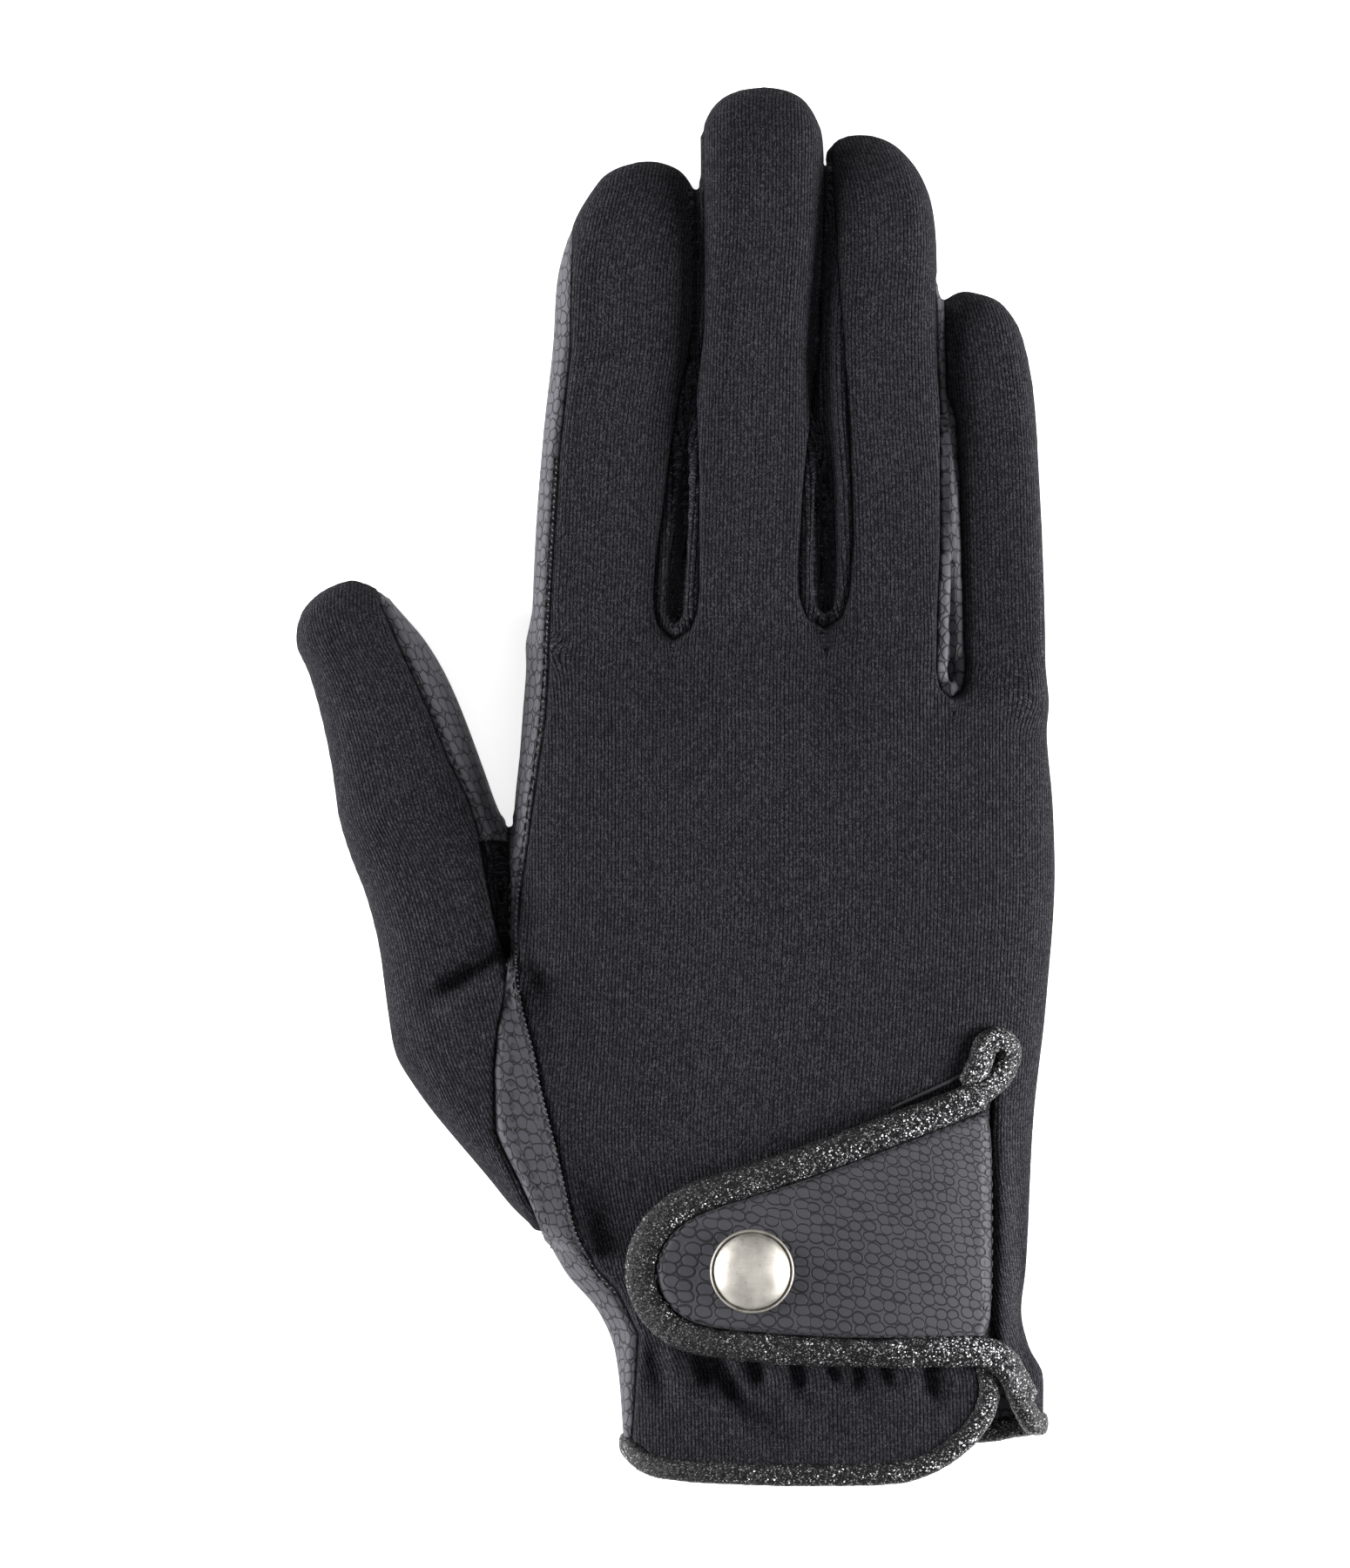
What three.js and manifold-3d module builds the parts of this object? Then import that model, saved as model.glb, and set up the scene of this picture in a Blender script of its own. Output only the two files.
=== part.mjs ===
// A right-hand horse riding glove, lying palm down, in millimetres.
// X runs from the thumb to the little finger, +Y to the fingertips, +Z up off the table.
import * as THREE from "three";
import { mergeVertices } from "three/addons/utils/BufferGeometryUtils.js";
import Module from "manifold-3d";

const wasm = await Module();
wasm.setup();

// Sizes of the hand
const palmWidth = 87;
const palmLength = 135; // from the hem to the crotch of the index and middle fingers
const palmThickness = 27;
const fingerLength = { index: 75, middle: 86.8, ring: 79.1, little: 64.6, thumb: 41.6 };

// Sizes of the cloth and its seams
const wall = 1.4;
const seamGap = 0.3;
const seamHeight = 7.5; // where the back meets the underside, over the table
const indexSeamHeight = 12; // the same along the index finger's side, where leather comes round

// Sizes of the closure
const strapThickness = 1.6;
const layerGap = 0.35; // between the strap and the cloth under it
const bindingWidth = 3.8;
const strapBindingWidth = 4.7;
const bindingRise = 0.9; // how far a binding stands out from the cloth that it wraps
const capDiameter = 13.4;
const capHeight = 2.4;
const capRimHeight = 0.9;

// Cross-sections of the palm from the hem to the crotches. Columns: along, as a share of the palm's
// length; left and right edge, as shares of its width; bottom and top, as shares of its thickness.
const palmRows = [
  [-0.012, -0.293, 0.476, 0.044, 0.833],
  [0.044, -0.298, 0.478, 0.044, 0.87],
  [0.114, -0.306, 0.471, 0.022, 0.926],
  [0.15, -0.315, 0.449, 0.0, 0.933],
  [0.192, -0.344, 0.438, -0.037, 0.926],
  [0.244, -0.41, 0.447, -0.056, 0.926],
  [0.415, -0.505, 0.46, -0.056, 0.963],
  [0.56, -0.502, 0.484, -0.056, 1.007],
  [0.716, -0.502, 0.5, -0.056, 0.993],
  [0.788, -0.499, 0.497, -0.056, 0.963],
  [0.856, -0.489, 0.488, -0.056, 0.919],
  [0.926, -0.481, 0.48, -0.04, 0.85],
  [0.932, -0.478, 0.299, -0.037, 0.84],
  [0.98, -0.473, 0.296, -0.019, 0.775],
  [1.007, -0.46, 0.284, 0.03, 0.66],
];

// Where each finger starts, as a share of the palm's length, and its cross-sections. Columns: along,
// as a share of the finger's length, or of the palm's where it is below 0; the rest as in palmRows.
const fingers = {
  index: { root: 1.006, rows: [
    [-0.06, -0.43, -0.25, 0.06, 0.6],
    [-0.012, -0.466, -0.214, -0.01, 0.7],
    [0.149, -0.462, -0.198, -0.037, 0.681],
    [0.411, -0.446, -0.193, -0.037, 0.641],
    [0.62, -0.427, -0.168, -0.037, 0.633],
    [0.728, -0.422, -0.164, -0.037, 0.63],
    [0.877, -0.386, -0.164, 0.007, 0.578],
    [0.93, -0.36, -0.167, 0.048, 0.519],
    [0.975, -0.329, -0.185, 0.125, 0.43],
    [1.0, -0.28, -0.225, 0.23, 0.326],
  ] },
  middle: { root: 1.006, rows: [
    [-0.06, -0.17, 0.04, 0.06, 0.64],
    [-0.012, -0.204, 0.068, -0.01, 0.735],
    [0.048, -0.198, 0.064, -0.037, 0.756],
    [0.258, -0.183, 0.061, -0.037, 0.704],
    [0.49, -0.163, 0.051, -0.037, 0.693],
    [0.758, -0.154, 0.069, -0.037, 0.685],
    [0.903, -0.154, 0.072, 0.011, 0.615],
    [0.948, -0.142, 0.058, 0.063, 0.541],
    [0.986, -0.104, 0.02, 0.16, 0.422],
    [1.0, -0.058, -0.029, 0.252, 0.326],
  ] },
  ring: { root: 1.006, rows: [
    [-0.06, 0.11, 0.265, 0.06, 0.61],
    [-0.012, 0.079, 0.296, -0.01, 0.71],
    [0.035, 0.084, 0.296, -0.037, 0.733],
    [0.283, 0.074, 0.299, -0.037, 0.674],
    [0.44, 0.062, 0.293, -0.037, 0.655],
    [0.584, 0.063, 0.285, -0.037, 0.648],
    [0.779, 0.079, 0.282, -0.037, 0.641],
    [0.858, 0.082, 0.274, -0.015, 0.615],
    [0.912, 0.085, 0.257, 0.03, 0.556],
    [0.966, 0.094, 0.223, 0.12, 0.44],
    [1.0, 0.135, 0.171, 0.237, 0.319],
  ] },
  little: { root: 0.929, rows: [
    [-0.06, 0.34, 0.44, 0.08, 0.56],
    [-0.012, 0.319, 0.478, -0.01, 0.64],
    [0.074, 0.315, 0.483, -0.037, 0.667],
    [0.226, 0.312, 0.481, -0.037, 0.63],
    [0.573, 0.311, 0.47, -0.037, 0.567],
    [0.724, 0.304, 0.463, -0.037, 0.559],
    [0.898, 0.296, 0.438, 0.0, 0.526],
    [0.946, 0.298, 0.418, 0.048, 0.474],
    [0.978, 0.303, 0.396, 0.119, 0.407],
    [1.0, 0.322, 0.349, 0.215, 0.311],
  ] },
  thumb: { root: 0.753, rows: [
    [-0.489, -0.409, -0.33, 0.0, 0.889],
    [-0.41, -0.537, -0.33, -0.037, 0.881],
    [-0.296, -0.681, -0.34, -0.037, 0.844],
    [-0.25, -0.721, -0.36, -0.037, 0.83],
    [-0.193, -0.735, -0.39, -0.037, 0.807],
    [-0.13, -0.748, -0.42, -0.037, 0.77],
    [-0.068, -0.772, -0.45, -0.037, 0.741],
    [-0.016, -0.803, -0.478, -0.037, 0.719],
    [0.099, -0.824, -0.525, -0.037, 0.704],
    [0.267, -0.835, -0.555, -0.037, 0.696],
    [0.637, -0.877, -0.626, -0.037, 0.689],
    [0.772, -0.903, -0.665, -0.022, 0.667],
    [0.863, -0.895, -0.702, 0.022, 0.607],
    [0.93, -0.872, -0.731, 0.089, 0.519],
    [0.977, -0.84, -0.761, 0.17, 0.422],
    [1.0, -0.811, -0.79, 0.244, 0.341],
  ] },
};

// Dents and folds of the back. Columns: place across and along, and reach across and along, as
// shares of the palm's width and length; height, as a share of its thickness.
const folds = [
  [-0.317, 0.9, 0.08, 0.09, 0.035], // knuckles
  [-0.066, 0.9, 0.08, 0.09, 0.045],
  [0.185, 0.9, 0.08, 0.09, 0.035],
  [-0.205, 0.95, 0.025, 0.06, -0.07], // valleys that run to the crotches
  [0.075, 0.95, 0.025, 0.06, -0.07],
  [0.305, 0.9, 0.025, 0.06, -0.06],
  [-0.15, 0.085, 0.03, 0.03, -0.04], // gathers of the cuff
  [-0.02, 0.085, 0.03, 0.03, -0.035],
  [0.11, 0.085, 0.03, 0.03, -0.04],
  [0.23, 0.085, 0.03, 0.03, -0.035],
];

// Outlines seen from above. Columns: across, as a share of the palm's width, and along, as a share
// of the palm's length.
const indexSeam = [
  [-0.434, 1.001], [-0.443, 0.9], [-0.475, 0.756], [-0.494, 0.64], [-0.489, 0.583],
  [-0.457, 0.498], [-0.436, 0.431], [-0.399, 0.333], [-0.385, 0.292], [-0.351, 0.246],
  [-0.311, 0.219], [-0.269, 0.166], [-0.286, 0.031], [-0.293, -0.036],
];
const thumbSeam = [
  [-0.507, 0.83], [-0.509, 0.707], [-0.51, 0.594], [-0.527, 0.532], [-0.536, 0.467],
  [-0.531, 0.408], [-0.492, 0.353], [-0.449, 0.283], [-0.483, 0.249],
];
const gussetOutline = [
  [-0.555, 0.749], [-0.418, 0.749], [-0.418, 0.615], [-0.548, 0.615], [-0.552, 0.684],
];
const slitOutline = [
  [0.396, 0.495], [0.385, 0.467], [0.378, 0.404], [0.375, 0.301], [0.375, 0.197], [0.38, 0.135],
  [0.386, 0.104], [0.377, 0.067], [0.351, 0.039], [0.309, 0.016], [0.235, -0.004], [0.161, -0.008],
  [0.0, -0.009], [-0.161, -0.005], [-0.272, -0.001], [-0.386, 0.0], [-0.386, -0.114],
  [0.644, -0.114], [0.644, 0.044], [0.459, 0.046], [0.423, 0.073], [0.404, 0.104], [0.396, 0.135],
  [0.391, 0.197], [0.391, 0.301], [0.394, 0.404], [0.402, 0.467], [0.404, 0.495], [0.4, 0.501],
];
const slitAcross = 0.383; // the slit's middle, below the strap
const underHemOutline = [[-0.483, -0.004], [0.644, 0.047], [0.644, -0.114], [-0.483, -0.114]];
const strapOutline = [
  [0.405, 0.429], [0.344, 0.426], [0.198, 0.394], [0.074, 0.364], [-0.048, 0.336], [-0.159, 0.316],
  [-0.209, 0.297], [-0.237, 0.27], [-0.243, 0.237], [-0.227, 0.205], [-0.185, 0.181],
  [-0.048, 0.17], [0.135, 0.164], [0.32, 0.165], [0.405, 0.167],
];
const capPlace = [-0.061, 0.245];

// Edge of the thumb's knit along its inner side. Columns: along, as a share of the thumb's length,
// or of the palm's where it is below 0; across, as a share of the palm's width.
const thumbKnitEdge = [
  [1.091, -0.74], [0.923, -0.745], [0.688, -0.695], [0.317, -0.62], [0.028, -0.563],
  [-0.011, -0.547], [-0.141, -0.547],
];

// The knit's edge along the outer side of the index finger, with the same columns.
const indexKnitEdge = [
  [0.877, -0.547], [0.874, -0.418], [0.844, -0.391], [0.597, -0.396], [0.353, -0.417],
  [0.172, -0.426],
];

// The three gaps between fingers. Columns: along, as a share of the named finger's length, or of the
// palm's where it is below 0; the gap's place across, and half the width of the side walls' strip,
// as shares of the palm's width.
const crotches = {
  fourchette_index_middle: { finger: "index", rows: [
    [-0.033, -0.206, 0.036], [0.056, -0.204, 0.037], [0.149, -0.191, 0.034],
    [0.435, -0.187, 0.025], [0.644, -0.159, 0.022], [0.922, -0.161, 0.02],
  ] },
  fourchette_middle_ring: { finger: "ring", rows: [
    [-0.029, 0.076, 0.037], [0.053, 0.074, 0.039], [0.142, 0.061, 0.037],
    [0.283, 0.068, 0.032], [0.513, 0.056, 0.024], [0.814, 0.074, 0.022], [0.935, 0.077, 0.021],
  ] },
  fourchette_ring_little: { finger: "little", rows: [
    [-0.033, 0.309, 0.03], [0.066, 0.307, 0.031], [0.352, 0.307, 0.028],
    [0.668, 0.303, 0.023], [0.907, 0.291, 0.02],
  ] },
};

const capSegments = 20;
const palmSegments = 28;
const fingerSegments = 10;
const sectionPower = 2.3; // 2 is an ellipse, more is squarer
const far = 3 * palmWidth; // past every side of the glove

// Places from shares
const onPalm = ([across, along]) => [across * palmWidth, along * palmLength];
const alongFinger = (name, along) =>
  fingers[name].root * palmLength + along * (along < 0 ? palmLength : fingerLength[name]);
const onFinger = (name, [along, across]) => [across * palmWidth, alongFinger(name, along)];

// A closed skin through cross-sections [y, left, right, bottom, top], laid flat where it meets z = 0.
function skin(sections, segments) {
  const points = [];
  for (const [y, left, right, bottom, top] of sections) {
    for (let i = 0; i < segments; i++) {
      const angle = (2 * Math.PI * i) / segments;
      const round = (v) => Math.sign(v) * Math.abs(v) ** (2 / sectionPower);
      const x = (left + right + (right - left) * round(Math.cos(angle))) / 2;
      const z = (bottom + top + (top - bottom) * round(Math.sin(angle))) / 2;
      points.push(x, y, Math.max(z, 0));
    }
  }
  const rings = sections.length;
  const faces = [];
  for (let r = 0; r + 1 < rings; r++) {
    for (let i = 0; i < segments; i++) {
      const a = r * segments + i;
      const b = r * segments + ((i + 1) % segments);
      faces.push(a, a + segments, b, b, a + segments, b + segments);
    }
  }
  for (const [ring, side] of [[0, 0], [rings - 1, 1]]) {
    const centre = points.length / 3;
    const [y, left, right, bottom, top] = sections[ring];
    points.push((left + right) / 2, y, Math.max((bottom + top) / 2, 0));
    for (let i = 0; i < segments; i++) {
      const a = ring * segments + i;
      const b = ring * segments + ((i + 1) % segments);
      faces.push(...(side ? [centre, b, a] : [centre, a, b]));
    }
  }
  const geometry = new THREE.BufferGeometry();
  geometry.setAttribute("position", new THREE.Float32BufferAttribute(points, 3));
  geometry.setIndex(faces);
  geometry.computeVertexNormals();
  return geometry;
}

// The same skin moved out by a distance, or in where it is negative. `mouth` is where the first ring
// is moved to, so that a hollow runs out past the hem.
function grown(geometry, distance, segments, mouth) {
  const copy = geometry.clone();
  const place = copy.attributes.position;
  const normal = geometry.attributes.normal;
  for (let i = 0; i < place.count; i++) {
    place.setXYZ(
      i,
      place.getX(i) + distance * normal.getX(i),
      place.getY(i) + distance * normal.getY(i),
      place.getZ(i) + distance * normal.getZ(i),
    );
  }
  if (mouth !== undefined) {
    const centre = place.count - 2;
    for (const i of [...Array(segments).keys(), centre]) place.setY(i, mouth);
  }
  return copy;
}

function solid(geometry) {
  const bare = new THREE.BufferGeometry();
  bare.setAttribute("position", geometry.attributes.position);
  if (geometry.index) bare.setIndex(geometry.index);
  const merged = mergeVertices(bare, 1e-4);
  return new wasm.Manifold(
    new wasm.Mesh({
      numProp: 3,
      vertProperties: new Float32Array(merged.attributes.position.array),
      triVerts: new Uint32Array(merged.index.array),
    }),
  );
}

// An outline [x, y] pulled up from z0 to z1.
function prism(outline, z0, z1) {
  const shape = new THREE.Shape(outline.map(([x, y]) => new THREE.Vector2(x, y)));
  const geometry = new THREE.ExtrudeGeometry(shape, { depth: 1, bevelEnabled: false });
  const place = geometry.attributes.position;
  for (let i = 0; i < place.count; i++) place.setZ(i, place.getZ(i) > 0.5 ? z1 : z0);
  return solid(geometry);
}

// An outline moved out on every side by a distance.
function widened(outline, distance) {
  const points = outline.map(([x, y]) => new THREE.Vector2(x, y));
  const turn = THREE.ShapeUtils.isClockWise(points) ? -1 : 1;
  return points.map((point, i) => {
    const before = points[(i + points.length - 1) % points.length];
    const after = points[(i + 1) % points.length];
    const n1 = point.clone().sub(before).normalize();
    const n2 = after.clone().sub(point).normalize();
    const out = new THREE.Vector2(n1.y + n2.y, -n1.x - n2.x).normalize();
    const share = Math.max(0.6, out.x * n1.y - out.y * n1.x);
    return [point.x + (out.x * turn * distance) / share, point.y + (out.y * turn * distance) / share];
  });
}

const join = (solids) => solids.reduce((whole, next) => whole.add(next));

// Where two seams cross, a cut can leave shreds of cloth, which fall off.
const shred = 1; // cubic millimetres
const withoutShreds = (cut) => join(cut.decompose().filter((each) => each.volume() > shred));

// Skins of the palm and of the fingers
const sectionOf = (y, [, left, right, bottom, top]) =>
  [y, left * palmWidth, right * palmWidth, bottom * palmThickness, top * palmThickness];
const palmSkin = skin(palmRows.map((row) => sectionOf(row[0] * palmLength, row)), palmSegments);
const palmPlace = palmSkin.attributes.position;
for (let i = 0; i < palmPlace.count; i++) {
  const share = palmPlace.getZ(i) / palmThickness;
  if (share < 0.5) continue;
  let height = 0;
  for (const [across, along, reachAcross, reachAlong, rise] of folds) {
    const dx = (palmPlace.getX(i) / palmWidth - across) / reachAcross;
    const dy = (palmPlace.getY(i) / palmLength - along) / reachAlong;
    height += rise * palmThickness * Math.exp(-dx * dx - dy * dy);
  }
  palmPlace.setZ(i, palmPlace.getZ(i) + height);
}
palmSkin.computeVertexNormals();
const fingerSkins = Object.entries(fingers).map(([name, finger]) =>
  skin(finger.rows.map((row) => sectionOf(alongFinger(name, row[0]), row)), fingerSegments),
);

// The cloth: everything between the outer skins and the same skins moved in by the wall
const mouth = -0.1 * palmLength;
const outside = join([palmSkin, ...fingerSkins].map(solid));
const hollow = join([
  solid(grown(palmSkin, -wall, palmSegments, mouth)),
  ...fingerSkins.map((each) => solid(grown(each, -wall))),
]);
const cloth = outside.subtract(hollow);

// Cuts of the hem and the wrist slit, on the back and on the underside
const slit = slitOutline.map(onPalm);
const underHem = underHemOutline.map(onPalm);
const slitTop = Math.max(...slit.map(([, y]) => y));
const strapEdge = strapOutline.map(onPalm);
const strapBottom = Math.min(...strapEdge.map(([, y]) => y));
const slitMiddle = slitAcross * palmWidth;
const bound = bindingWidth + seamGap;
const onBack = (outline) => prism(outline, seamHeight, far);
const onUnderside = (outline) => prism(outline, -far, seamHeight);
const rectangle = (x0, y0, x1, y1) => [[x0, y0], [x1, y0], [x1, y1], [x0, y1]];
const hemCut = (extra) => onBack(widened(slit, extra)).add(onUnderside(widened(underHem, extra)));
const hemLeftTop = strapBottom - strapBindingWidth - 2 * seamGap;
const hemRightTop = strapBottom - 4 * seamGap;
const hemZone = (extra) =>
  prism(rectangle(-far, -far, slitMiddle, hemLeftTop + extra), -far, far).add(
    prism(rectangle(slitMiddle - extra, -far, far, hemRightTop + extra), -far, far),
  );
const loopFloor = palmThickness / 2; // the loop's binding stays on the upper half
const loopZone = (extra) =>
  prism(rectangle(-far, slitTop - 2 * bindingWidth - extra, far, far), loopFloor - extra, far);
const edgeCut = hemCut(0)
  .add(hemCut(bound).intersect(hemZone(seamGap)))
  .add(onBack(widened(slit, bound)).intersect(loopZone(seamGap)));

// Regions of the glove, seen from above, and how high each one starts
const backOutline = [
  [far, fingers.index.root * palmLength + far],
  [-far, fingers.index.root * palmLength + far],
  [-far, alongFinger("index", indexKnitEdge[0][0])],
  ...indexKnitEdge.slice(1).map((row) => onFinger("index", row)),
  ...indexSeam.map(onPalm),
  [indexSeam.at(-1)[0] * palmWidth, -far],
  [far, -far],
];
const thumbRight = thumbSeam.map(onPalm);
const thumbTop = alongFinger("thumb", 1.2);
const thumbOutline = [
  [-far, thumbTop],
  [thumbRight[0][0], thumbTop],
  ...thumbRight,
  [-far, thumbRight.at(-1)[1]],
];
const thumbKnitOutline = [
  [-far, thumbTop],
  ...thumbKnitEdge.map((row) => onFinger("thumb", row)),
  [far, alongFinger("thumb", thumbKnitEdge.at(-1)[0])],
  [far, thumbRight.at(-1)[1] - 2 * wall],
  [-far, thumbRight.at(-1)[1] - 2 * wall],
];
const gusset = gussetOutline.map(onPalm);
const region = (outline, extra, floor = -far) => prism(widened(outline, extra), floor - extra, far);
const indexSide = rectangle(-far, -far, onPalm([-0.35, 0])[0], far);
const backRegion = (extra) =>
  region(backOutline, extra, seamHeight).subtract(prism(indexSide, -far, indexSeamHeight - extra));
const crotchOutline = ({ finger, rows }) => {
  const side = (sign) => ([along, across, half]) =>
    onFinger(finger, [along, across + sign * half]);
  return [...rows.map(side(-1)), ...rows.map(side(1)).reverse()];
};
const fourchetteCut = join(
  Object.values(crotches).map((crotch) => region(crotchOutline(crotch), seamGap)),
);

const body = cloth.subtract(edgeCut);
const hand = body.subtract(region(thumbOutline, seamGap)).subtract(fourchetteCut);
const thumb = body.intersect(region(thumbOutline, 0));
const thumbRest = thumb.subtract(region(gusset, seamGap, seamHeight));
const thumbKnit = region(thumbKnitOutline, 0, seamHeight);

// Pieces that lie on the cloth or wrap its edges
const above = (distance) => solid(grown(palmSkin, distance, palmSegments));
const overStrap = layerGap + strapThickness;
const strapBand = above(overStrap).subtract(above(layerGap)).intersect(onBack(strapEdge));
const bandOutline = widened(strapEdge.slice(1, -1), strapBindingWidth);
const strapEnd = slitMiddle - bindingWidth - seamGap;
const strapBinding = above(overStrap + bindingRise)
  .subtract(above(layerGap))
  .intersect(onBack(bandOutline))
  .intersect(onBack(rectangle(-far, -far, strapEnd, far)))
  .subtract(onBack(widened(strapEdge, seamGap)))
  .subtract(onBack(widened(slit, bound)).intersect(loopZone(seamGap)));
const wrapped = above(bindingRise).subtract(
  solid(grown(palmSkin, -wall - bindingRise, palmSegments, mouth)),
);
const edgeBand = hemCut(bindingWidth).subtract(hemCut(0));
const cuffBinding = wrapped.intersect(edgeBand).intersect(hemZone(0));
const slitBinding = wrapped.intersect(edgeBand).intersect(loopZone(0));

// The snap cap: a turned dome over a skirt that is trimmed to the strap under it
const [capX, capY] = onPalm(capPlace);
const capRadius = capDiameter / 2;
const seat = above(overStrap + seamGap);
const capBase = seat.intersect(prism(rectangle(capX - 1, capY - 1, capX + 1, capY + 1), -far, far))
  .boundingBox().max[2];
const domeArc = [1, 0.97, 0.85, 0.6, 0.3].map((share) => new THREE.Vector2(
  capRadius * share,
  capRimHeight + (capHeight - capRimHeight) * Math.sqrt(1 - (share * 0.98) ** 2),
));
const capGeometry = new THREE.LatheGeometry(
  [
    new THREE.Vector2(0, -capHeight),
    new THREE.Vector2(capRadius, -capHeight),
    ...domeArc,
    new THREE.Vector2(0, capHeight),
  ],
  capSegments,
);
capGeometry.rotateX(Math.PI / 2);
capGeometry.translate(capX, capY, capBase);
const snapCap = solid(capGeometry).subtract(seat);

// Colours and finish
const finishes = {
  knit: { color: 0x242427, roughness: 0.95, metalness: 0 },
  leather: { color: 0x47484c, roughness: 0.6, metalness: 0 },
  glitter: { color: 0x323236, roughness: 0.5, metalness: 0.3 },
  nickel: { color: 0xc8c4be, roughness: 0.3, metalness: 1 },
};

const glove = new THREE.Group();
glove.name = "riding_glove";

function addPiece(name, shape, finish) {
  const made = withoutShreds(shape).getMesh();
  const geometry = new THREE.BufferGeometry();
  geometry.setAttribute("position", new THREE.BufferAttribute(made.vertProperties, 3));
  geometry.setIndex(new THREE.BufferAttribute(made.triVerts, 1));
  geometry.computeVertexNormals();
  const mesh = new THREE.Mesh(geometry, new THREE.MeshStandardMaterial(finishes[finish]));
  mesh.name = name;
  glove.add(mesh);
}

addPiece("back_panel", hand.intersect(backRegion(0)), "knit");
addPiece("palm_panel", hand.subtract(backRegion(seamGap)), "leather");
addPiece("thumb_back", thumbRest.intersect(thumbKnit), "knit");
addPiece(
  "thumb_front",
  thumbRest.subtract(region(thumbKnitOutline, seamGap, seamHeight)),
  "leather",
);
addPiece("thumb_gusset", thumb.intersect(region(gusset, 0, seamHeight)), "knit");
for (const [name, crotch] of Object.entries(crotches)) {
  addPiece(
    name,
    body.intersect(region(crotchOutline(crotch), 0)),
    name === "fourchette_ring_little" ? "leather" : "knit",
  );
}
addPiece("strap", strapBand, "leather");
addPiece("strap_binding", strapBinding, "glitter");
addPiece("slit_binding", slitBinding, "glitter");
addPiece("cuff_binding", cuffBinding, "glitter");
addPiece("snap_cap", snapCap, "nickel");

// The origin is the middle of the footprint, on the table.
const box = new THREE.Box3().setFromObject(glove);
const centre = box.getCenter(new THREE.Vector3());
glove.position.set(-centre.x, -centre.y, -box.min.z);

export default glove;
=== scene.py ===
"""The looks of a right-hand horse riding glove that lies palm down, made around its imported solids.

Lengths are millimetres in the drawing's frame: x across the hand, y from the hem to the fingertips, z up
from the table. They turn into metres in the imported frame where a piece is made.
"""
import math

import bpy
import numpy as np
import openvdb
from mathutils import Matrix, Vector
from mathutils.bvhtree import BVHTree
from mathutils.kdtree import KDTree


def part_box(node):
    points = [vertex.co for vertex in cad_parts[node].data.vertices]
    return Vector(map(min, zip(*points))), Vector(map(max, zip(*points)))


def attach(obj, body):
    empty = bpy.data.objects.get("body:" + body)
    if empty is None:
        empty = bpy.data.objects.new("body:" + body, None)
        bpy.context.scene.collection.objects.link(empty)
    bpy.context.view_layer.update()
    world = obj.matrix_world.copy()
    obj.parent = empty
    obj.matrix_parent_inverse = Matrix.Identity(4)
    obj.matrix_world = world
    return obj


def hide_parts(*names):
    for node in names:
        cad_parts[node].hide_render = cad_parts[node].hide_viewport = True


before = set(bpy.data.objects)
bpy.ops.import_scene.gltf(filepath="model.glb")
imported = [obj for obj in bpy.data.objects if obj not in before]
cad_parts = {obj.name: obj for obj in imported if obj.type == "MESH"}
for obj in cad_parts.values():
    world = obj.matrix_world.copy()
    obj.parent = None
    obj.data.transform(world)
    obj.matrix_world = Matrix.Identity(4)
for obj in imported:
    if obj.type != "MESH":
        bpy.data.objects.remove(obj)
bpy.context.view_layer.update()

# Sizes of the hand
PALM = 87.0
LENGTH = 135.0
THICK = 27.0
FINGER_LENGTH = {"index": 75.0, "middle": 86.8, "ring": 79.1, "little": 64.6, "thumb": 41.6}
FINGERS = ("index", "middle", "ring", "little")

# Sizes of the cloth and the closure
WALL = 1.25
STRAP_THICK = 1.6
STRAP_LIFT = 0.4
STRAP_TAPE = 4.7
HEM_TAPE = 3.8
CAP_PLACE = (-0.061 * PALM, 0.245 * LENGTH)
CAP_RADIUS = 6.7
CAP_GROOVE = 6.15
CAP_SIDES = 96
TAPE_RISE = 2.5

# How high the knit ends over the table: at the sides, and along the index finger
SEAM_HEIGHT = 7.5
INDEX_SEAM_HEIGHT = 12.0

# The walls between two fingers: half their thickness, their low edge, their upper edge and how much
# higher it is at the crotch, and where they start
FORK_HALF = 0.8
FORK_LOW = 1.2
FORK_HIGH = 12.0
FORK_CLIMB = 5.2
CROTCH = 132

# How far the fillets reach where two shapes of the hand meet
FILLET = {
    "fingers": 0.9, "forks": 2.0, "palm": 4.0, "thumb": 2.4, "palm end": 3.0, "little corner": 5.0,
}

# The grid of cells in which the hand's shape is worked out

CELL = 0.725
LOW = np.array([-84.0, -6.0, -2.6])
HIGH = np.array([49.0, 225.5, 30.5])

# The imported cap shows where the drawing's zero lies in the frame
cap_low, cap_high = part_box("snap_cap")
cap_middle = [(low + high) / 2 * 1000 for low, high in zip(cap_low, cap_high)]
ORIGIN = np.array([cap_middle[0] - CAP_PLACE[0], cap_middle[1] - CAP_PLACE[1], 0])

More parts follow.
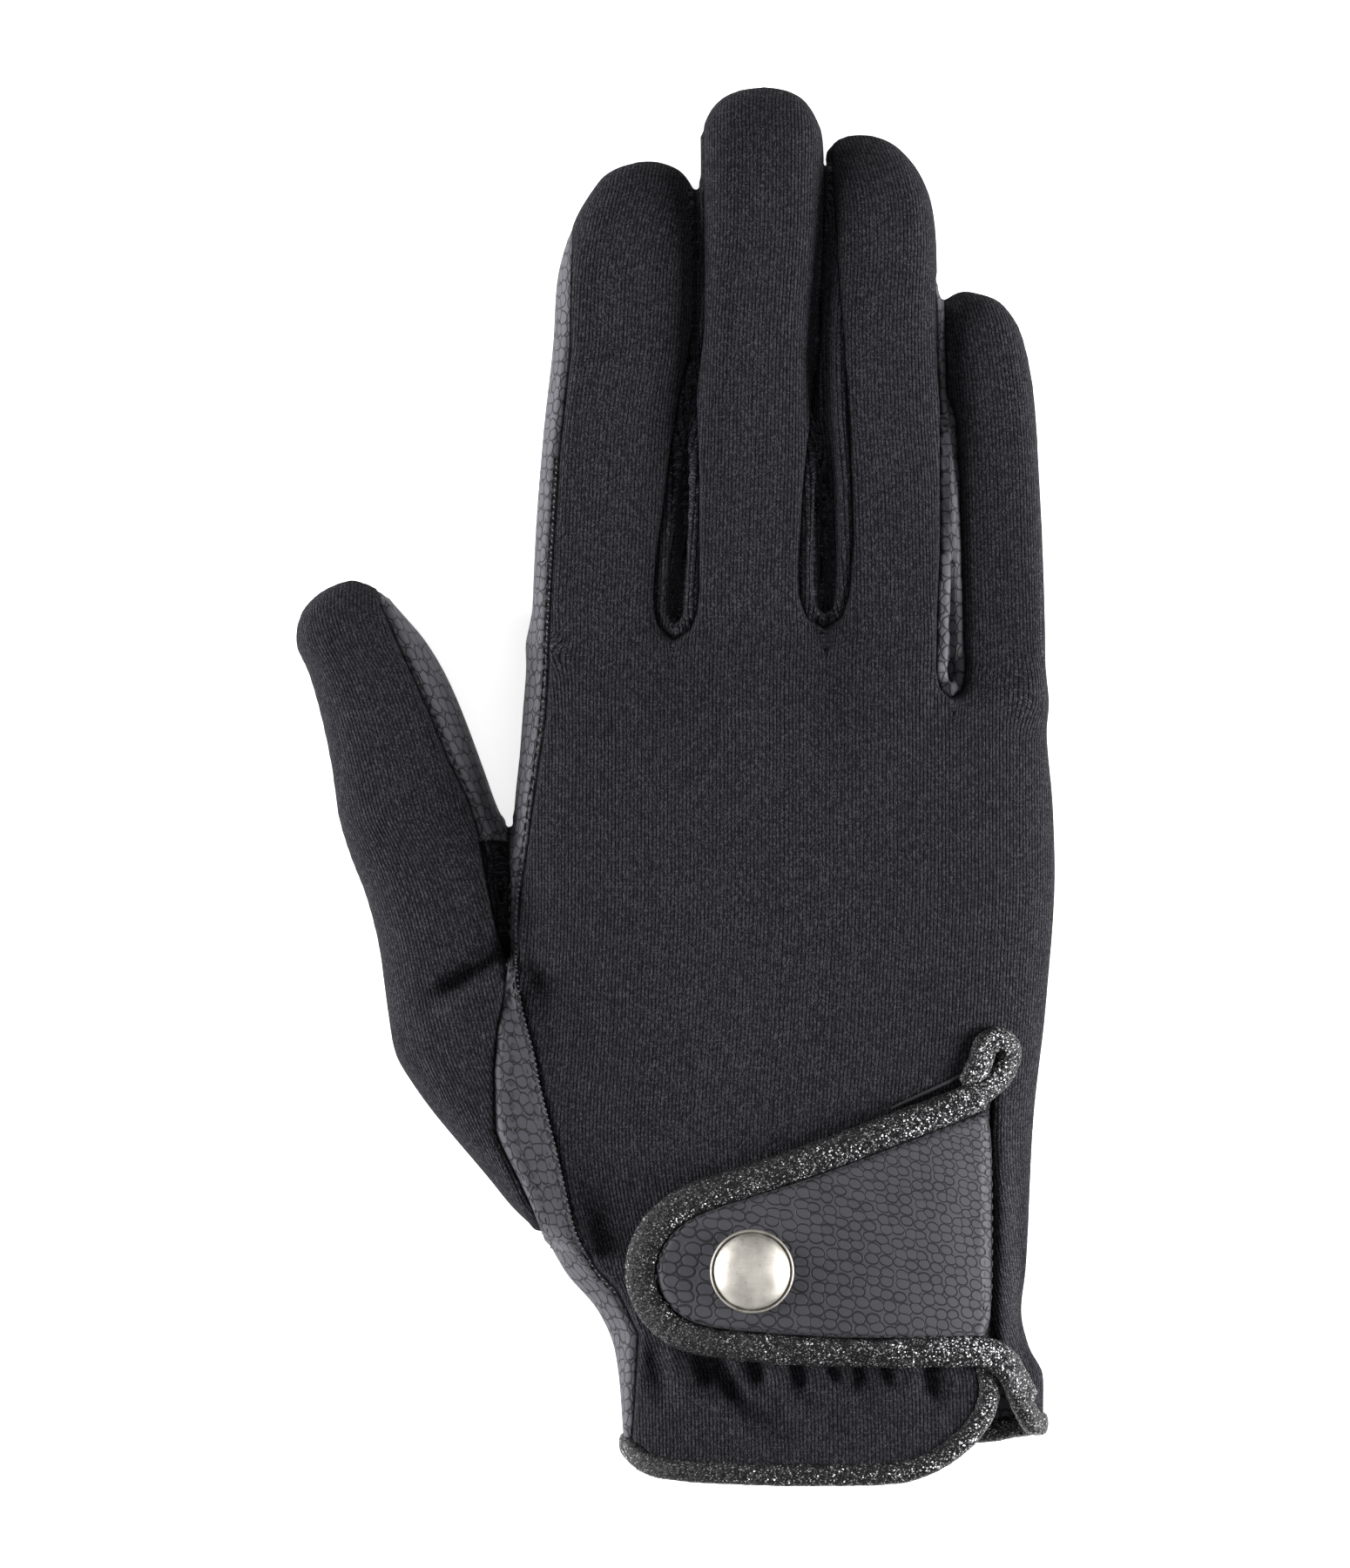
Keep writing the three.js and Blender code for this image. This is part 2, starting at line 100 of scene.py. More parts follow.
# Cross-sections of the palm. Columns: along, as a share of the palm's length; left and right edge, as
# shares of its width; bottom and top, as shares of its thickness.
PALM_ROWS = np.array([
    [-0.08, -0.29, 0.476, 0.044, 0.82],
    [-0.012, -0.293, 0.476, 0.044, 0.833],
    [0.044, -0.298, 0.478, 0.044, 0.87],
    [0.114, -0.306, 0.479, 0.022, 0.926],
    [0.15, -0.315, 0.452, 0.0, 0.933],
    [0.192, -0.344, 0.438, -0.037, 0.926],
    [0.244, -0.41, 0.447, -0.056, 0.926],
    [0.415, -0.505, 0.46, -0.056, 0.963],
    [0.56, -0.502, 0.484, -0.056, 1.007],
    [0.716, -0.502, 0.5, -0.056, 0.993],
    [0.788, -0.499, 0.497, -0.056, 0.963],
    [0.856, -0.489, 0.488, -0.056, 0.919],
    [0.926, -0.481, 0.48, -0.04, 0.85],
    [0.98, -0.473, 0.476, -0.019, 0.775],
    [1.002, -0.46, 0.47, 0.0, 0.7],
])
LITTLE_CORNER = (25.9, 126.5)

# Where each finger starts, as a share of the palm's length, and its cross-sections. Columns: along, as a
# share of the finger's length, or of the palm's where it is below 0; the rest as in PALM_ROWS.
FINGER_ROWS = {
    "index": (1.006, [
        [-0.06, -0.43, -0.25, 0.06, 0.6], [-0.012, -0.466, -0.214, -0.01, 0.7],
        [0.149, -0.462, -0.198, -0.037, 0.681], [0.411, -0.446, -0.193, -0.037, 0.641],
        [0.62, -0.427, -0.168, -0.037, 0.633], [0.728, -0.422, -0.164, -0.037, 0.63],
        [0.877, -0.386, -0.164, 0.007, 0.578], [0.93, -0.36, -0.167, 0.048, 0.519],
        [0.975, -0.329, -0.185, 0.125, 0.43], [1.0, -0.28, -0.225, 0.23, 0.326],
    ]),
    "middle": (1.006, [
        [-0.06, -0.17, 0.04, 0.06, 0.64], [-0.012, -0.204, 0.068, -0.01, 0.735],
        [0.048, -0.198, 0.064, -0.037, 0.756], [0.258, -0.183, 0.061, -0.037, 0.704],
        [0.49, -0.163, 0.051, -0.037, 0.693], [0.758, -0.154, 0.069, -0.037, 0.685],
        [0.903, -0.154, 0.072, 0.011, 0.615], [0.948, -0.142, 0.058, 0.063, 0.541],
        [0.986, -0.110, 0.029, 0.16, 0.422], [1.002, -0.068, -0.009, 0.252, 0.326],
    ]),
    "ring": (1.006, [
        [-0.06, 0.11, 0.265, 0.06, 0.61], [-0.012, 0.079, 0.296, -0.01, 0.71],
        [0.035, 0.084, 0.296, -0.037, 0.733], [0.283, 0.074, 0.299, -0.037, 0.674],
        [0.44, 0.062, 0.293, -0.037, 0.655], [0.584, 0.063, 0.285, -0.037, 0.648],
        [0.779, 0.079, 0.282, -0.037, 0.641], [0.858, 0.082, 0.274, -0.015, 0.615],
        [0.912, 0.080, 0.257, 0.03, 0.556], [0.966, 0.081, 0.223, 0.12, 0.44],
        [1.002, 0.108, 0.173, 0.237, 0.319],
    ]),
    "little": (0.929, [
        [-0.06, 0.34, 0.44, 0.08, 0.56], [-0.012, 0.319, 0.478, -0.01, 0.64],
        [0.074, 0.315, 0.483, -0.037, 0.667], [0.226, 0.312, 0.481, -0.037, 0.63],
        [0.573, 0.311, 0.47, -0.037, 0.567], [0.724, 0.304, 0.463, -0.037, 0.559],
        [0.898, 0.296, 0.438, 0.0, 0.526], [0.946, 0.298, 0.418, 0.048, 0.474],
        [0.978, 0.303, 0.396, 0.119, 0.407], [1.0, 0.322, 0.349, 0.215, 0.311],
    ]),
    "thumb": (0.753, [
        [-0.489, -0.409, -0.33, 0.0, 0.889], [-0.44, -0.498, -0.33, -0.02, 0.885],
        [-0.41, -0.537, -0.33, -0.037, 0.881],
        [-0.296, -0.681, -0.34, -0.037, 0.844], [-0.25, -0.721, -0.36, -0.037, 0.83],
        [-0.193, -0.735, -0.39, -0.037, 0.807], [-0.13, -0.748, -0.42, -0.037, 0.77],
        [-0.068, -0.772, -0.45, -0.037, 0.741], [-0.016, -0.803, -0.478, -0.037, 0.719],
        [0.099, -0.824, -0.525, -0.037, 0.704], [0.267, -0.835, -0.555, -0.037, 0.696],
        [0.637, -0.877, -0.626, -0.037, 0.689], [0.772, -0.903, -0.665, -0.022, 0.667],
        [0.863, -0.895, -0.702, 0.022, 0.607], [0.93, -0.872, -0.731, 0.089, 0.519],
        [0.977, -0.84, -0.761, 0.17, 0.422], [1.0, -0.811, -0.79, 0.244, 0.341],
    ]),
}

# Soft rises and dents of the back. Columns: place, reach and height, in millimetres.
SWELLS = np.array([
    [-27.6, 121.5, 7.0, 12.2, 1.0], [-5.7, 121.5, 7.0, 12.2, 1.2], [16.1, 121.5, 7.0, 12.2, 1.0],
    [-17.8, 128.3, 4.2, 8.0, -0.6], [6.5, 128.3, 4.2, 8.0, -0.6], [26.5, 121.5, 3.6, 8.0, -0.5],
])

# How far up the side walls of two neighbouring fingers touch
FORK_ENDS = {("index", "middle"): 205.5, ("middle", "ring"): 209.0, ("ring", "little"): 188.0}

# Creases and ridges of the cloth. Columns: one end, other end, half width, height (below 0 for a crease).
CREASES = np.array([
    [35.2, 20.0, 35.1, 58.0, 2.0, 1.7], [37.6, 24.0, 37.4, 54.0, 1.2, -1.0],
    [-44.6, 84.0, -56.5, 75.6, 1.6, -3.6], [-44.0, 79.6, -57.0, 71.8, 2.4, 2.4],
    [-48.0, 92.0, -58.0, 84.5, 3.0, 0.9],
    [-44.8, 84.0, -46.6, 99.5, 1.6, -3.0],
    [-20.5, 19.0, -19.0, 12.0, 1.8, -1.8], [-14.6, 18.4, -12.6, 13.4, 1.9, -4.2],
    [-10.4, 18.2, -7.0, 11.5, 1.9, -4.4], [-5.0, 18.0, -3.2, 14.0, 1.8, -4.2],
    [1.6, 18.0, 3.4, 13.8, 1.8, -4.0], [6.6, 18.0, 8.2, 14.8, 1.7, -3.4],
    [11.4, 18.0, 13.1, 13.8, 1.8, -3.8], [15.8, 18.0, 17.6, 14.4, 1.7, -3.4],
    [22.6, 18.2, 23.6, 11.5, 1.8, -2.4],
    [-12.0, 16.5, 3.4, 5.0, 3.0, -2.0], [-2.0, 15.5, 11.0, 4.5, 2.6, -1.3],
    [9.0, 15.5, 19.0, 7.0, 2.4, -1.2],
    [-14.0, 12.5, -5.0, 4.0, 2.4, 1.1], [-2.0, 13.0, 8.0, 4.5, 2.4, 1.1],
    [13.0, 13.0, 18.5, 7.5, 2.2, 1.0],
    [-23.5, 4.9, -4.0, 2.8, 1.1, -0.8], [-4.0, 2.8, 12.0, 2.6, 1.1, -0.6],
    [-17.0, 138.0, -15.2, 166.0, 1.0, -2.0], [6.6, 139.5, 7.2, 166.0, 1.0, -2.0],
    [26.7, 128.0, 26.9, 152.0, 1.0, -1.6],
    [37.2, 21.0, 40.5, 12.0, 1.6, -0.9], [39.5, 23.0, 42.0, 16.0, 1.8, 0.7],
])

# Left of this x, the palm and the thumb share their upper side
WEB_SIDE = -28.0

# Seams and edges seen from above
KNIT_EDGE = [
    (200, 400), (-200, 400), (-200, 201.6), (-36.4, 201.4), (-34.0, 199.1), (-34.4, 180.6),
    (-36.3, 162.3), (-37.1, 148.7), (-37.8, 135.1), (-38.5, 121.5), (-40.0, 111.4), (-41.3, 102.1),
    (-42.4, 93.7), (-43.0, 86.4), (-42.6, 78.7), (-41.6, 73.6), (-39.8, 67.2), (-39.1, 63.0),
    (-37.9, 58.2), (-36.4, 52.4), (-34.7, 44.9), (-33.5, 39.5), (-30.5, 33.2), (-27.0, 29.5),
    (-23.6, 22.4), (-24.3, 13.0), (-24.9, 4.2), (-25.3, -4.9), (-25.5, -200), (200, -200),
]
THUMB_EDGE = [
    (-200, 151.5), (-44.1, 151.5), (-44.2, 112.0), (-44.3, 95.4), (-44.5, 82.0), (-44.8, 76.5),
    (-45.9, 71.8), (-46.5, 65.0), (-46.2, 55.1), (-45.1, 52.3), (-42.8, 47.6), (-40.9, 43.1),
    (-39.1, 38.2), (-42.0, 33.6), (-200, 33.6),
]
THUMB_KNIT_EDGE = [
    (-200, 160), (-64.4, 160), (-64.4, 147.0), (-64.8, 140.0), (-60.5, 130.2), (-56.7, 121.8),
    (-53.9, 114.8), (-50.4, 107.9), (-48.9, 102.8), (-48.2, 100.0), (-46.6, 91.0), (-44.4, 81.5),
    (200, 81.5),
    (200, 30.8), (-200, 30.8),
]
GUSSET_EDGE = [(-48.8, 101.6), (-36.4, 101.6), (-36.4, 81.5), (-44.4, 81.5), (-46.6, 91.0)]
FOURCHETTES = {
    "fourchette_index_middle": [
        (-14.3, 216), (-14.3, 192.1), (-14.5, 184.1), (-15.4, 178.4), (-16.4, 173.6), (-17.6, 165.8),
        (-18.8, 157.5), (-20.0, 149.9), (-20.7, 142.1), (-20.7, 138.4), (-19.9, 135.7), (-17.6, 134.0),
        (-15.3, 135.3), (-14.2, 138.2), (-13.9, 141.6), (-13.9, 146.7), (-14.0, 152.6),
        (-14.1, 161.0), (-14.3, 165.8), (-14.4, 173.6), (-13.8, 178.4), (-13.1, 184.1),
        (-13.0, 192.1), (-13.0, 216),
    ],
    "fourchette_middle_ring": [
        (6.2, 217), (6.6, 211.0), (6.2, 194.6), (5.5, 180.6), (4.2, 165.8), (3.2, 157.8), (2.4, 145.7),
        (2.5, 140.6), (3.7, 137.3), (6.4, 135.9), (9.0, 137.4), (10.2, 141.0), (10.5, 145.2),
        (10.8, 149.9), (10.6, 158.2), (10.3, 165.8), (9.5, 181.6), (8.7, 192.1), (8.0, 203.0),
        (7.6, 211.0), (7.6, 217),
    ],
    "fourchette_ring_little": [
        (24.4, 192), (24.8, 180.6), (25.4, 171.4), (25.3, 157.5), (25.2, 148.1), (24.7, 136.5),
        (24.6, 129.0), (25.2, 126.0), (26.8, 124.6), (28.3, 126.0), (28.7, 129.5), (28.7, 136.5),
        (28.5, 148.1), (28.2, 157.5), (27.4, 168.6), (26.2, 173.7), (25.9, 180.6), (25.7, 192),
    ],
}
HEM_ON_BACK = [
    (33.4, 66.8), (33.0, 63.0), (32.7, 54.5), (32.6, 40.6), (32.6, 26.6), (32.9, 19.5), (34.0, 16.0),
    (34.3, 13.4), (33.2, 9.4), (30.4, 5.5), (26.6, 2.4), (23.0, 0.5), (19.4, -0.7), (14.0, -1.1),
    (0.0, -1.2), (-14.0, -0.8), (-20.5, -0.2), (-23.6, 0.9), (-26.0, 3.4), (-200, 3.4), (-200, -200),
    (200, -200),
    (200, 6.6), (42.5, 6.3), (39.6, 6.6), (37.6, 9.6), (36.1, 13.0), (35.2, 16.0), (34.1, 19.0),
    (33.3, 22.4), (33.1, 26.6), (33.1, 40.6), (33.2, 54.5), (33.5, 63.0), (33.9, 66.8), (33.7, 67.6),
]
HEM_UNDERNEATH = [
    (-200, 3.4), (-26.0, 3.4), (-23.6, 1.4), (-20.5, 0.8), (56.0, 6.3), (200, 6.3), (200, -200),
    (-200, -200),
]
STRAP_EDGE = [
    (-21.1, 32.1), (-20.4, 36.3), (-17.9, 40.0), (-13.6, 42.7), (-4.2, 45.6), (6.4, 49.1), (17.2, 53.2),
    (30.0, 57.9), (33.2, 58.6), (33.7, 39.5), (33.3, 21.9), (27.9, 22.2), (11.8, 22.1), (-4.2, 23.0),
    (-14.5, 24.0), (-19.2, 27.4),
]
STRAP_TAPE_LINE = [
    (39.0, 11.0), (37.6, 14.0), (35.9, 17.2), (33.8, 19.3), (31.0, 20.2), (27.5, 20.2), (11.8, 19.8),
    (-4.2, 20.7), (-15.5, 21.9), (-21.4, 26.2), (-23.4, 32.1), (-22.4, 37.4), (-19.3, 41.8),
    (-14.4, 44.9), (-4.9, 47.8), (5.6, 51.3), (16.4, 55.4), (29.2, 60.1), (32.0, 61.6),
]
LOOP_LINE = [
    (29.0, 59.9), (32.0, 61.9), (34.5, 64.0), (35.9, 66.8), (35.7, 68.7), (34.5, 69.8), (32.9, 69.8),
    (31.7, 68.7), (31.3, 66.6), (30.3, 64.2), (29.0, 61.8),
]
BACKING_LINE = [(31.0, 65.4), (26.5, 63.4), (16.8, 58.9)]


# Curves and outlines -----------------------------------------------------------------------------


def smooth_rows(where, rows, places):
    """A table read between its rows on a curve that never overshoots them."""
    step = np.diff(where)
    rise = np.diff(rows, axis=0) / step[:, None]
    slope = np.zeros_like(rows)
    slope[0], slope[-1] = rise[0], rise[-1]
    steady = rise[:-1] * rise[1:] > 0
    low, high = rise[:-1][steady], rise[1:][steady]
    slope[1:-1][steady] = 2 * low * high / (low + high)
    k = np.clip(np.searchsorted(where, places) - 1, 0, len(where) - 2)
    t = np.clip((places - where[k]) / step[k], 0, 1)[:, None]
    h = step[k][:, None]
    return (
        rows[k] * (1 + 2 * t) * (1 - t) ** 2
        + rows[k + 1] * t * t * (3 - 2 * t)
        + slope[k] * h * t * (1 - t) ** 2
        - slope[k + 1] * h * t * t * (1 - t)
    )


def smooth_step(value, low, high):
    t = np.clip((value - low) / (high - low), 0, 1)
    return t * t * (3 - 2 * t)


def read_between(grid, i, j):
    """A grid read between its cells."""
    a, b = np.floor(i).astype(int), np.floor(j).astype(int)
    s, t = i - a, j - b
    return (
        grid[a, b] * (1 - s) * (1 - t) + grid[a + 1, b] * s * (1 - t)
        + grid[a, b + 1] * (1 - s) * t + grid[a + 1, b + 1] * s * t
    )


def tree_of(spots):
    """A tree that finds the nearest of many spots."""
    tree = KDTree(len(spots))
    for i, spot in enumerate(spots):
        tree.insert(spot, i)
    tree.balance()
    return tree


def depth_in(outline, x, y):
    """How far inside a closed outline each point lies, below 0 outside it."""
    best = np.full(x.shape, 1e9)
    crossings = np.zeros(x.shape, int)
    points = np.array(outline, float)
    for (x0, y0), (x1, y1) in zip(points, np.roll(points, -1, axis=0)):
        dx, dy = x1 - x0, y1 - y0
        t = np.clip(((x - x0) * dx + (y - y0) * dy) / (dx * dx + dy * dy), 0, 1)
        best = np.minimum(best, np.hypot(x - x0 - t * dx, y - y0 - t * dy))
        if dy:
            crossings += ((y0 > y) != (y1 > y)) & (x < x0 + (y - y0) / dy * dx)
    return np.where(crossings % 2 == 1, best, -best)


def even_path(points, step, closed=False, rounds=2):
    """Points at an even step along a path, corners rounded. Further columns are carried along."""
    path = np.array(points, float)
    for _ in range(rounds):  # each corner is cut at a quarter of its sides
        follow = np.roll(path, -1, axis=0) if closed else path[1:]
        start = path if closed else path[:-1]
        fresh = np.stack([start * 0.75 + follow * 0.25, start * 0.25 + follow * 0.75], 1)
        fresh = fresh.reshape(-1, path.shape[1])
        path = fresh if closed else np.vstack([path[:1], fresh, path[-1:]])
    if closed:
        path = np.vstack([path, path[:1]])
    reach = np.concatenate([[0], np.cumsum(np.linalg.norm(np.diff(path[:, :3], axis=0), axis=1))])
    places = np.linspace(0, reach[-1], max(int(reach[-1] / step), 3) + 1)
    if closed:
        places = places[:-1]
    return np.stack([np.interp(places, reach, column) for column in path.T], 1)


# Cross-sections of the hand ----------------------------------------------------------------------


def sections(name, y):
    """Left, right, bottom and top of the palm or of a finger at each y, and where the finger ends."""
    if name == "palm":
        table = PALM_ROWS * [LENGTH, PALM, PALM, THICK, THICK]
        return smooth_rows(table[:, 0], table[:, 1:], y).T, table[-1, 0]
    root, rows = FINGER_ROWS[name]
    table = np.array(rows)
    along = np.where(table[:, 0] < 0, LENGTH, FINGER_LENGTH[name])
    places = root * LENGTH + table[:, 0] * along
    table = table[:, 1:] * [PALM, PALM, THICK, THICK]
    tip = places[-1] + 0.35
    middle = np.repeat((table[-1, 0::2] + table[-1, 1::2]) / 2, 2)
    table = np.vstack([table, middle + [-0.05, 0.05, -0.05, 0.05]])
    round_end = -np.sqrt(tip - np.append(places, tip))
    return smooth_rows(round_end, table, -np.sqrt(np.maximum(tip - y, 0))).T, tip


def squareness(name):
    return {"palm": 2.35, "thumb": 2.5}.get(name, 2.8)


def square_at(name, y):
    """How square a section is at each y: the fingers are flatter on top towards their roots."""
    if name in ("palm", "thumb"):
        return squareness(name)
    root = FINGER_ROWS[name][0] * LENGTH
    return squareness(name) + 1.7 * (1 - smooth_step(y, root + 5, root + 55))


def skin_distance(name, x, y, z):
    """About how far each cell lies outside the palm or a finger, below 0 inside it."""
    (left, right, bottom, top), end = sections(name, y.ravel())
    shape = (1, -1, 1)
    half_wide = ((right - left) / 2).reshape(shape)
    half_high = ((top - bottom) / 2).reshape(shape)
    u = np.abs(x - ((left + right) / 2).reshape(shape)) / half_wide
    w = np.abs(z - ((bottom + top) / 2).reshape(shape)) / half_high
    power = square_at(name, y)
    size = np.maximum((u**power + w**power) ** (1 / power), 1e-6)
    steep = np.hypot((u / size) ** (power - 1) / half_wide, (w / size) ** (power - 1) / half_high)
    away = (size - 1) / np.maximum(steep, 1e-6)
    if name == "palm":
        corner = np.minimum(x - LITTLE_CORNER[0], y - LITTLE_CORNER[1])
        inside = soft_union(-away, end - y, FILLET["palm end"])
        return -soft_union(inside, -corner, FILLET["little corner"])
    root, rows = FINGER_ROWS[name]
    start = (root + rows[0][0]) * LENGTH
    away = np.where(y > end, np.hypot(np.maximum(away, 0), y - end), away)
    return np.maximum(away, start - y)


def soft_union(a, b, reach):
    """Both shapes, with a fillet of about that reach where they meet."""
    near = np.maximum(reach - np.abs(a - b), 0) / reach
    return np.minimum(a, b) - near * near * reach / 4


def hand_cells():
    """The hand as distances on a grid of cells."""
    x, y, z = (
        np.arange(low, high, CELL, dtype=np.float32) for low, high in zip(LOW, HIGH)
    )
    x, y, z = x.reshape(-1, 1, 1), y.reshape(1, -1, 1), z.reshape(1, 1, -1)
    fingers = None
    for name in FINGERS:
        one = skin_distance(name, x, y, z)
        fingers = one if fingers is None else soft_union(fingers, one, FILLET["fingers"])
    for (left_name, right_name), end in FORK_ENDS.items():
        (_, near, _, _), _ = sections(left_name, y.ravel())
        (far, _, _, _), _ = sections(right_name, y.ravel())
        middle = ((near + far) / 2).reshape(1, -1, 1)
        half = (np.abs(far - near) / 2).reshape(1, -1, 1) + FORK_HALF
        upper = FORK_HIGH + FORK_CLIMB * (1 - smooth_step(y, CROTCH + 10, CROTCH + 40))
        wall = np.maximum(np.abs(x - middle) - half, np.maximum(z - upper, FORK_LOW - z))
        wall = np.maximum(wall, np.abs(y - (end + CROTCH) / 2) - (end - CROTCH) / 2)
        fingers = soft_union(fingers, wall, FILLET["forks"])
    hand = soft_union(skin_distance("palm", x, y, z), fingers, FILLET["palm"])
    return soft_union(hand, skin_distance("thumb", x, y, z), FILLET["thumb"]).astype(np.float32)


def swell_height(x, y):
    """How far the cloth rises or dips at a place on the back."""
    height = np.zeros(x.shape)
    for cx, cy, reach_x, reach_y, rise in SWELLS:
        height += rise * np.exp(-(((x - cx) / reach_x) ** 2) - ((y - cy) / reach_y) ** 2)
    for x0, y0, x1, y1, half, rise in CREASES:
        dx, dy = x1 - x0, y1 - y0
        t = np.clip(((x - x0) * dx + (y - y0) * dy) / (dx * dx + dy * dy), 0, 1)
        away = np.hypot(x - x0 - t * dx, y - y0 - t * dy) / half
        fade = 1 - 0.75 * smooth_step(t, 0.55, 1.0)
        height += rise * fade * np.exp(-away * away)
    return height


class Top:
    """The height of the hand's upper side at any place seen from above."""

    def __init__(self, cells):
        nx, ny, nz = cells.shape
        inside = cells < 0
        highest = nz - 1 - np.argmax(inside[:, :, ::-1], axis=2)
        some = inside.any(axis=2)
        i, j = np.meshgrid(np.arange(nx), np.arange(ny), indexing="ij")
        k = np.clip(highest, 0, nz - 2)
        below, above = cells[i, j, k], cells[i, j, k + 1]
        share = np.clip(below / np.where(below - above == 0, 1, below - above), 0, 1)
        self.height = np.where(some, LOW[2] + (k + share) * CELL, 0.0)
        rise = np.clip(np.diff(self.height, axis=0), -2 * CELL, 2 * CELL)
        length = np.cumsum(np.hypot(CELL, rise), axis=0)
        self.across = np.insert(length, 0, 0, axis=0)  # length over the surface from the left

    def read(self, grid, x, y):
        i = np.clip((np.asarray(x) - LOW[0]) / CELL, 0, grid.shape[0] - 1.001)
        j = np.clip((np.asarray(y) - LOW[1]) / CELL, 0, grid.shape[1] - 1.001)
        return read_between(grid, i, j)

    def at(self, x, y):
        x, y = np.asarray(x, float), np.asarray(y, float)
        return self.read(self.height, x, y) + swell_height(x, y)

    def smooth_at(self, x, y, reach=1.6):
        """The same, averaged over a small patch, as a stiff piece lies on cloth."""
        offsets = [(0, 0), (reach, 0), (-reach, 0), (0, reach), (0, -reach)]
        return sum(self.at(x + dx, y + dy) for dx, dy in offsets) / len(offsets)

    def normal_at(self, x, y, reach=1.2):
        slope_x = (self.smooth_at(x + reach, y) - self.smooth_at(x - reach, y)) / (2 * reach)
        slope_y = (self.smooth_at(x, y + reach) - self.smooth_at(x, y - reach)) / (2 * reach)
        normal = np.stack([-slope_x, -slope_y, np.ones_like(slope_x)], -1)
        return normal / np.linalg.norm(normal, axis=-1, keepdims=True)


# Meshes as arrays: points with further columns, and triangles ------------------------------------


def normals_of(points, faces):
    corners = points[faces][:, :, :3]
    flat = np.cross(corners[:, 1] - corners[:, 0], corners[:, 2] - corners[:, 0])
    total = np.stack(
        [sum(np.bincount(faces[:, c], flat[:, k], len(points)) for c in range(3)) for k in range(3)],
        1,
    )
    return total / np.maximum(np.linalg.norm(total, axis=1, keepdims=True), 1e-9)


def relaxed(points, faces, rounds):
    """The same surface with its small corners smoothed away."""
    a = faces.ravel()
    b = np.roll(faces, -1, axis=1).ravel()
    count = np.bincount(a, minlength=len(points))[:, None]
    for _ in range(rounds):
        total = np.stack([np.bincount(a, points[b, k], len(points)) for k in range(3)], 1)
        points = points * 0.5 + total / count * 0.5
    return points


def used_only(points, faces):
    """A mesh without the points that no face uses."""
    used, where = np.unique(faces, return_inverse=True)
    return points[used], where.reshape(faces.shape)


def cut(points, faces, value):
    """A mesh cut along value = 0: the part above it and the part below, each as points and faces."""
    value = np.where(np.abs(value) < 1e-4, 1e-4, value)
    above = value[faces] > 0
    count = above.sum(axis=1)
    crossing = (count == 1) | (count == 2)
    mixed, up = faces[crossing], above[crossing]
    lone_above = count[crossing] == 1
    lone = np.where(lone_above, up.argmax(axis=1), (~up).argmax(axis=1))
    a, b, c = np.take_along_axis(mixed, (lone[:, None] + np.arange(3)) % 3, 1).T
    edges = np.sort(np.concatenate([np.stack([a, b], 1), np.stack([a, c], 1)]), axis=1)
    keys, where = np.unique(edges, axis=0, return_inverse=True)
    share = (value[keys[:, 0]] / (value[keys[:, 0]] - value[keys[:, 1]]))[:, None]
    fresh = points[keys[:, 0]] * (1 - share) + points[keys[:, 1]] * share
    ab, ac = (where.ravel() + len(points)).reshape(2, -1)
    points = np.vstack([points, fresh])
    tip = np.stack([a, ab, ac], 1)
    rest = [np.stack([ab, b, c], 1), np.stack([ab, c, ac], 1)]
    parts = []
    for side, whole in ((True, 3), (False, 0)):
        keep = [faces[count == whole], tip[lone_above == side]]
        keep += [r[lone_above != side] for r in rest]
        parts.append(used_only(points, np.concatenate(keep)))
    return parts


def edge_loops(faces):
    """Open edges of a mesh as closed loops of points, with the cloth on their left."""
    directed = np.concatenate([faces[:, [0, 1]], faces[:, [1, 2]], faces[:, [2, 0]]])
    keys, index, count = np.unique(
        np.sort(directed, axis=1), axis=0, return_index=True, return_counts=True
    )
    follow = dict(directed[index[count == 1]].tolist())
    loops = []
    while follow:
        start, at = follow.popitem()
        loop = [start]
        while at != start and at in follow:
            loop.append(at)
            at = follow.pop(at)
        loops.append(loop)
    return sorted(loops, key=len, reverse=True)


def seam_distance(points, faces):
    """How far each point lies from the piece's own edge."""
    spots = []
    for loop in edge_loops(faces):
        ring = points[loop][:, :3]
        follow = np.roll(ring, -1, axis=0)
        spots += [ring, ring * 0.67 + follow * 0.33, ring * 0.33 + follow * 0.67]
    tree = tree_of(np.vstack(spots))
    return np.array([tree.find(p)[2] for p in points[:, :3]])


def to_frame(points):
    return (points[:, :3] + ORIGIN) / 1000


def make_mesh(name, points, faces, layers=(), uv=None):
    """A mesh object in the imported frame, from points in millimetres."""
    mesh = bpy.data.meshes.new(name)
    faces = np.asarray(faces)
    mesh.from_pydata(to_frame(points).tolist(), [], faces.tolist())
    mesh.polygons.foreach_set("use_smooth", [True] * len(mesh.polygons))
    corners = np.zeros(len(mesh.loops), int)
    mesh.loops.foreach_get("vertex_index", corners)
    if uv is not None:
        mesh.uv_layers.new(name="cloth").data.foreach_set("uv", uv[corners].ravel())
    for key, values in dict(layers).items():
        mesh.attributes.new(key, "FLOAT", "POINT").data.foreach_set("value", values)
    mesh.update()
    obj = bpy.data.objects.new(name, mesh)
    bpy.context.scene.collection.objects.link(obj)
    return obj


def settle(obj, material, nodes):
    """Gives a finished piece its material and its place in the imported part."""
    if material is not None:
        obj.data.materials.clear()
        obj.data.materials.append(material)
    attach(obj, "root")
    if nodes:
        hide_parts(*nodes)
    return obj


# How the cloth's own directions run over the hand ------------------------------------------------


FLATTEST_TALLEST = (0.1, 2.0)


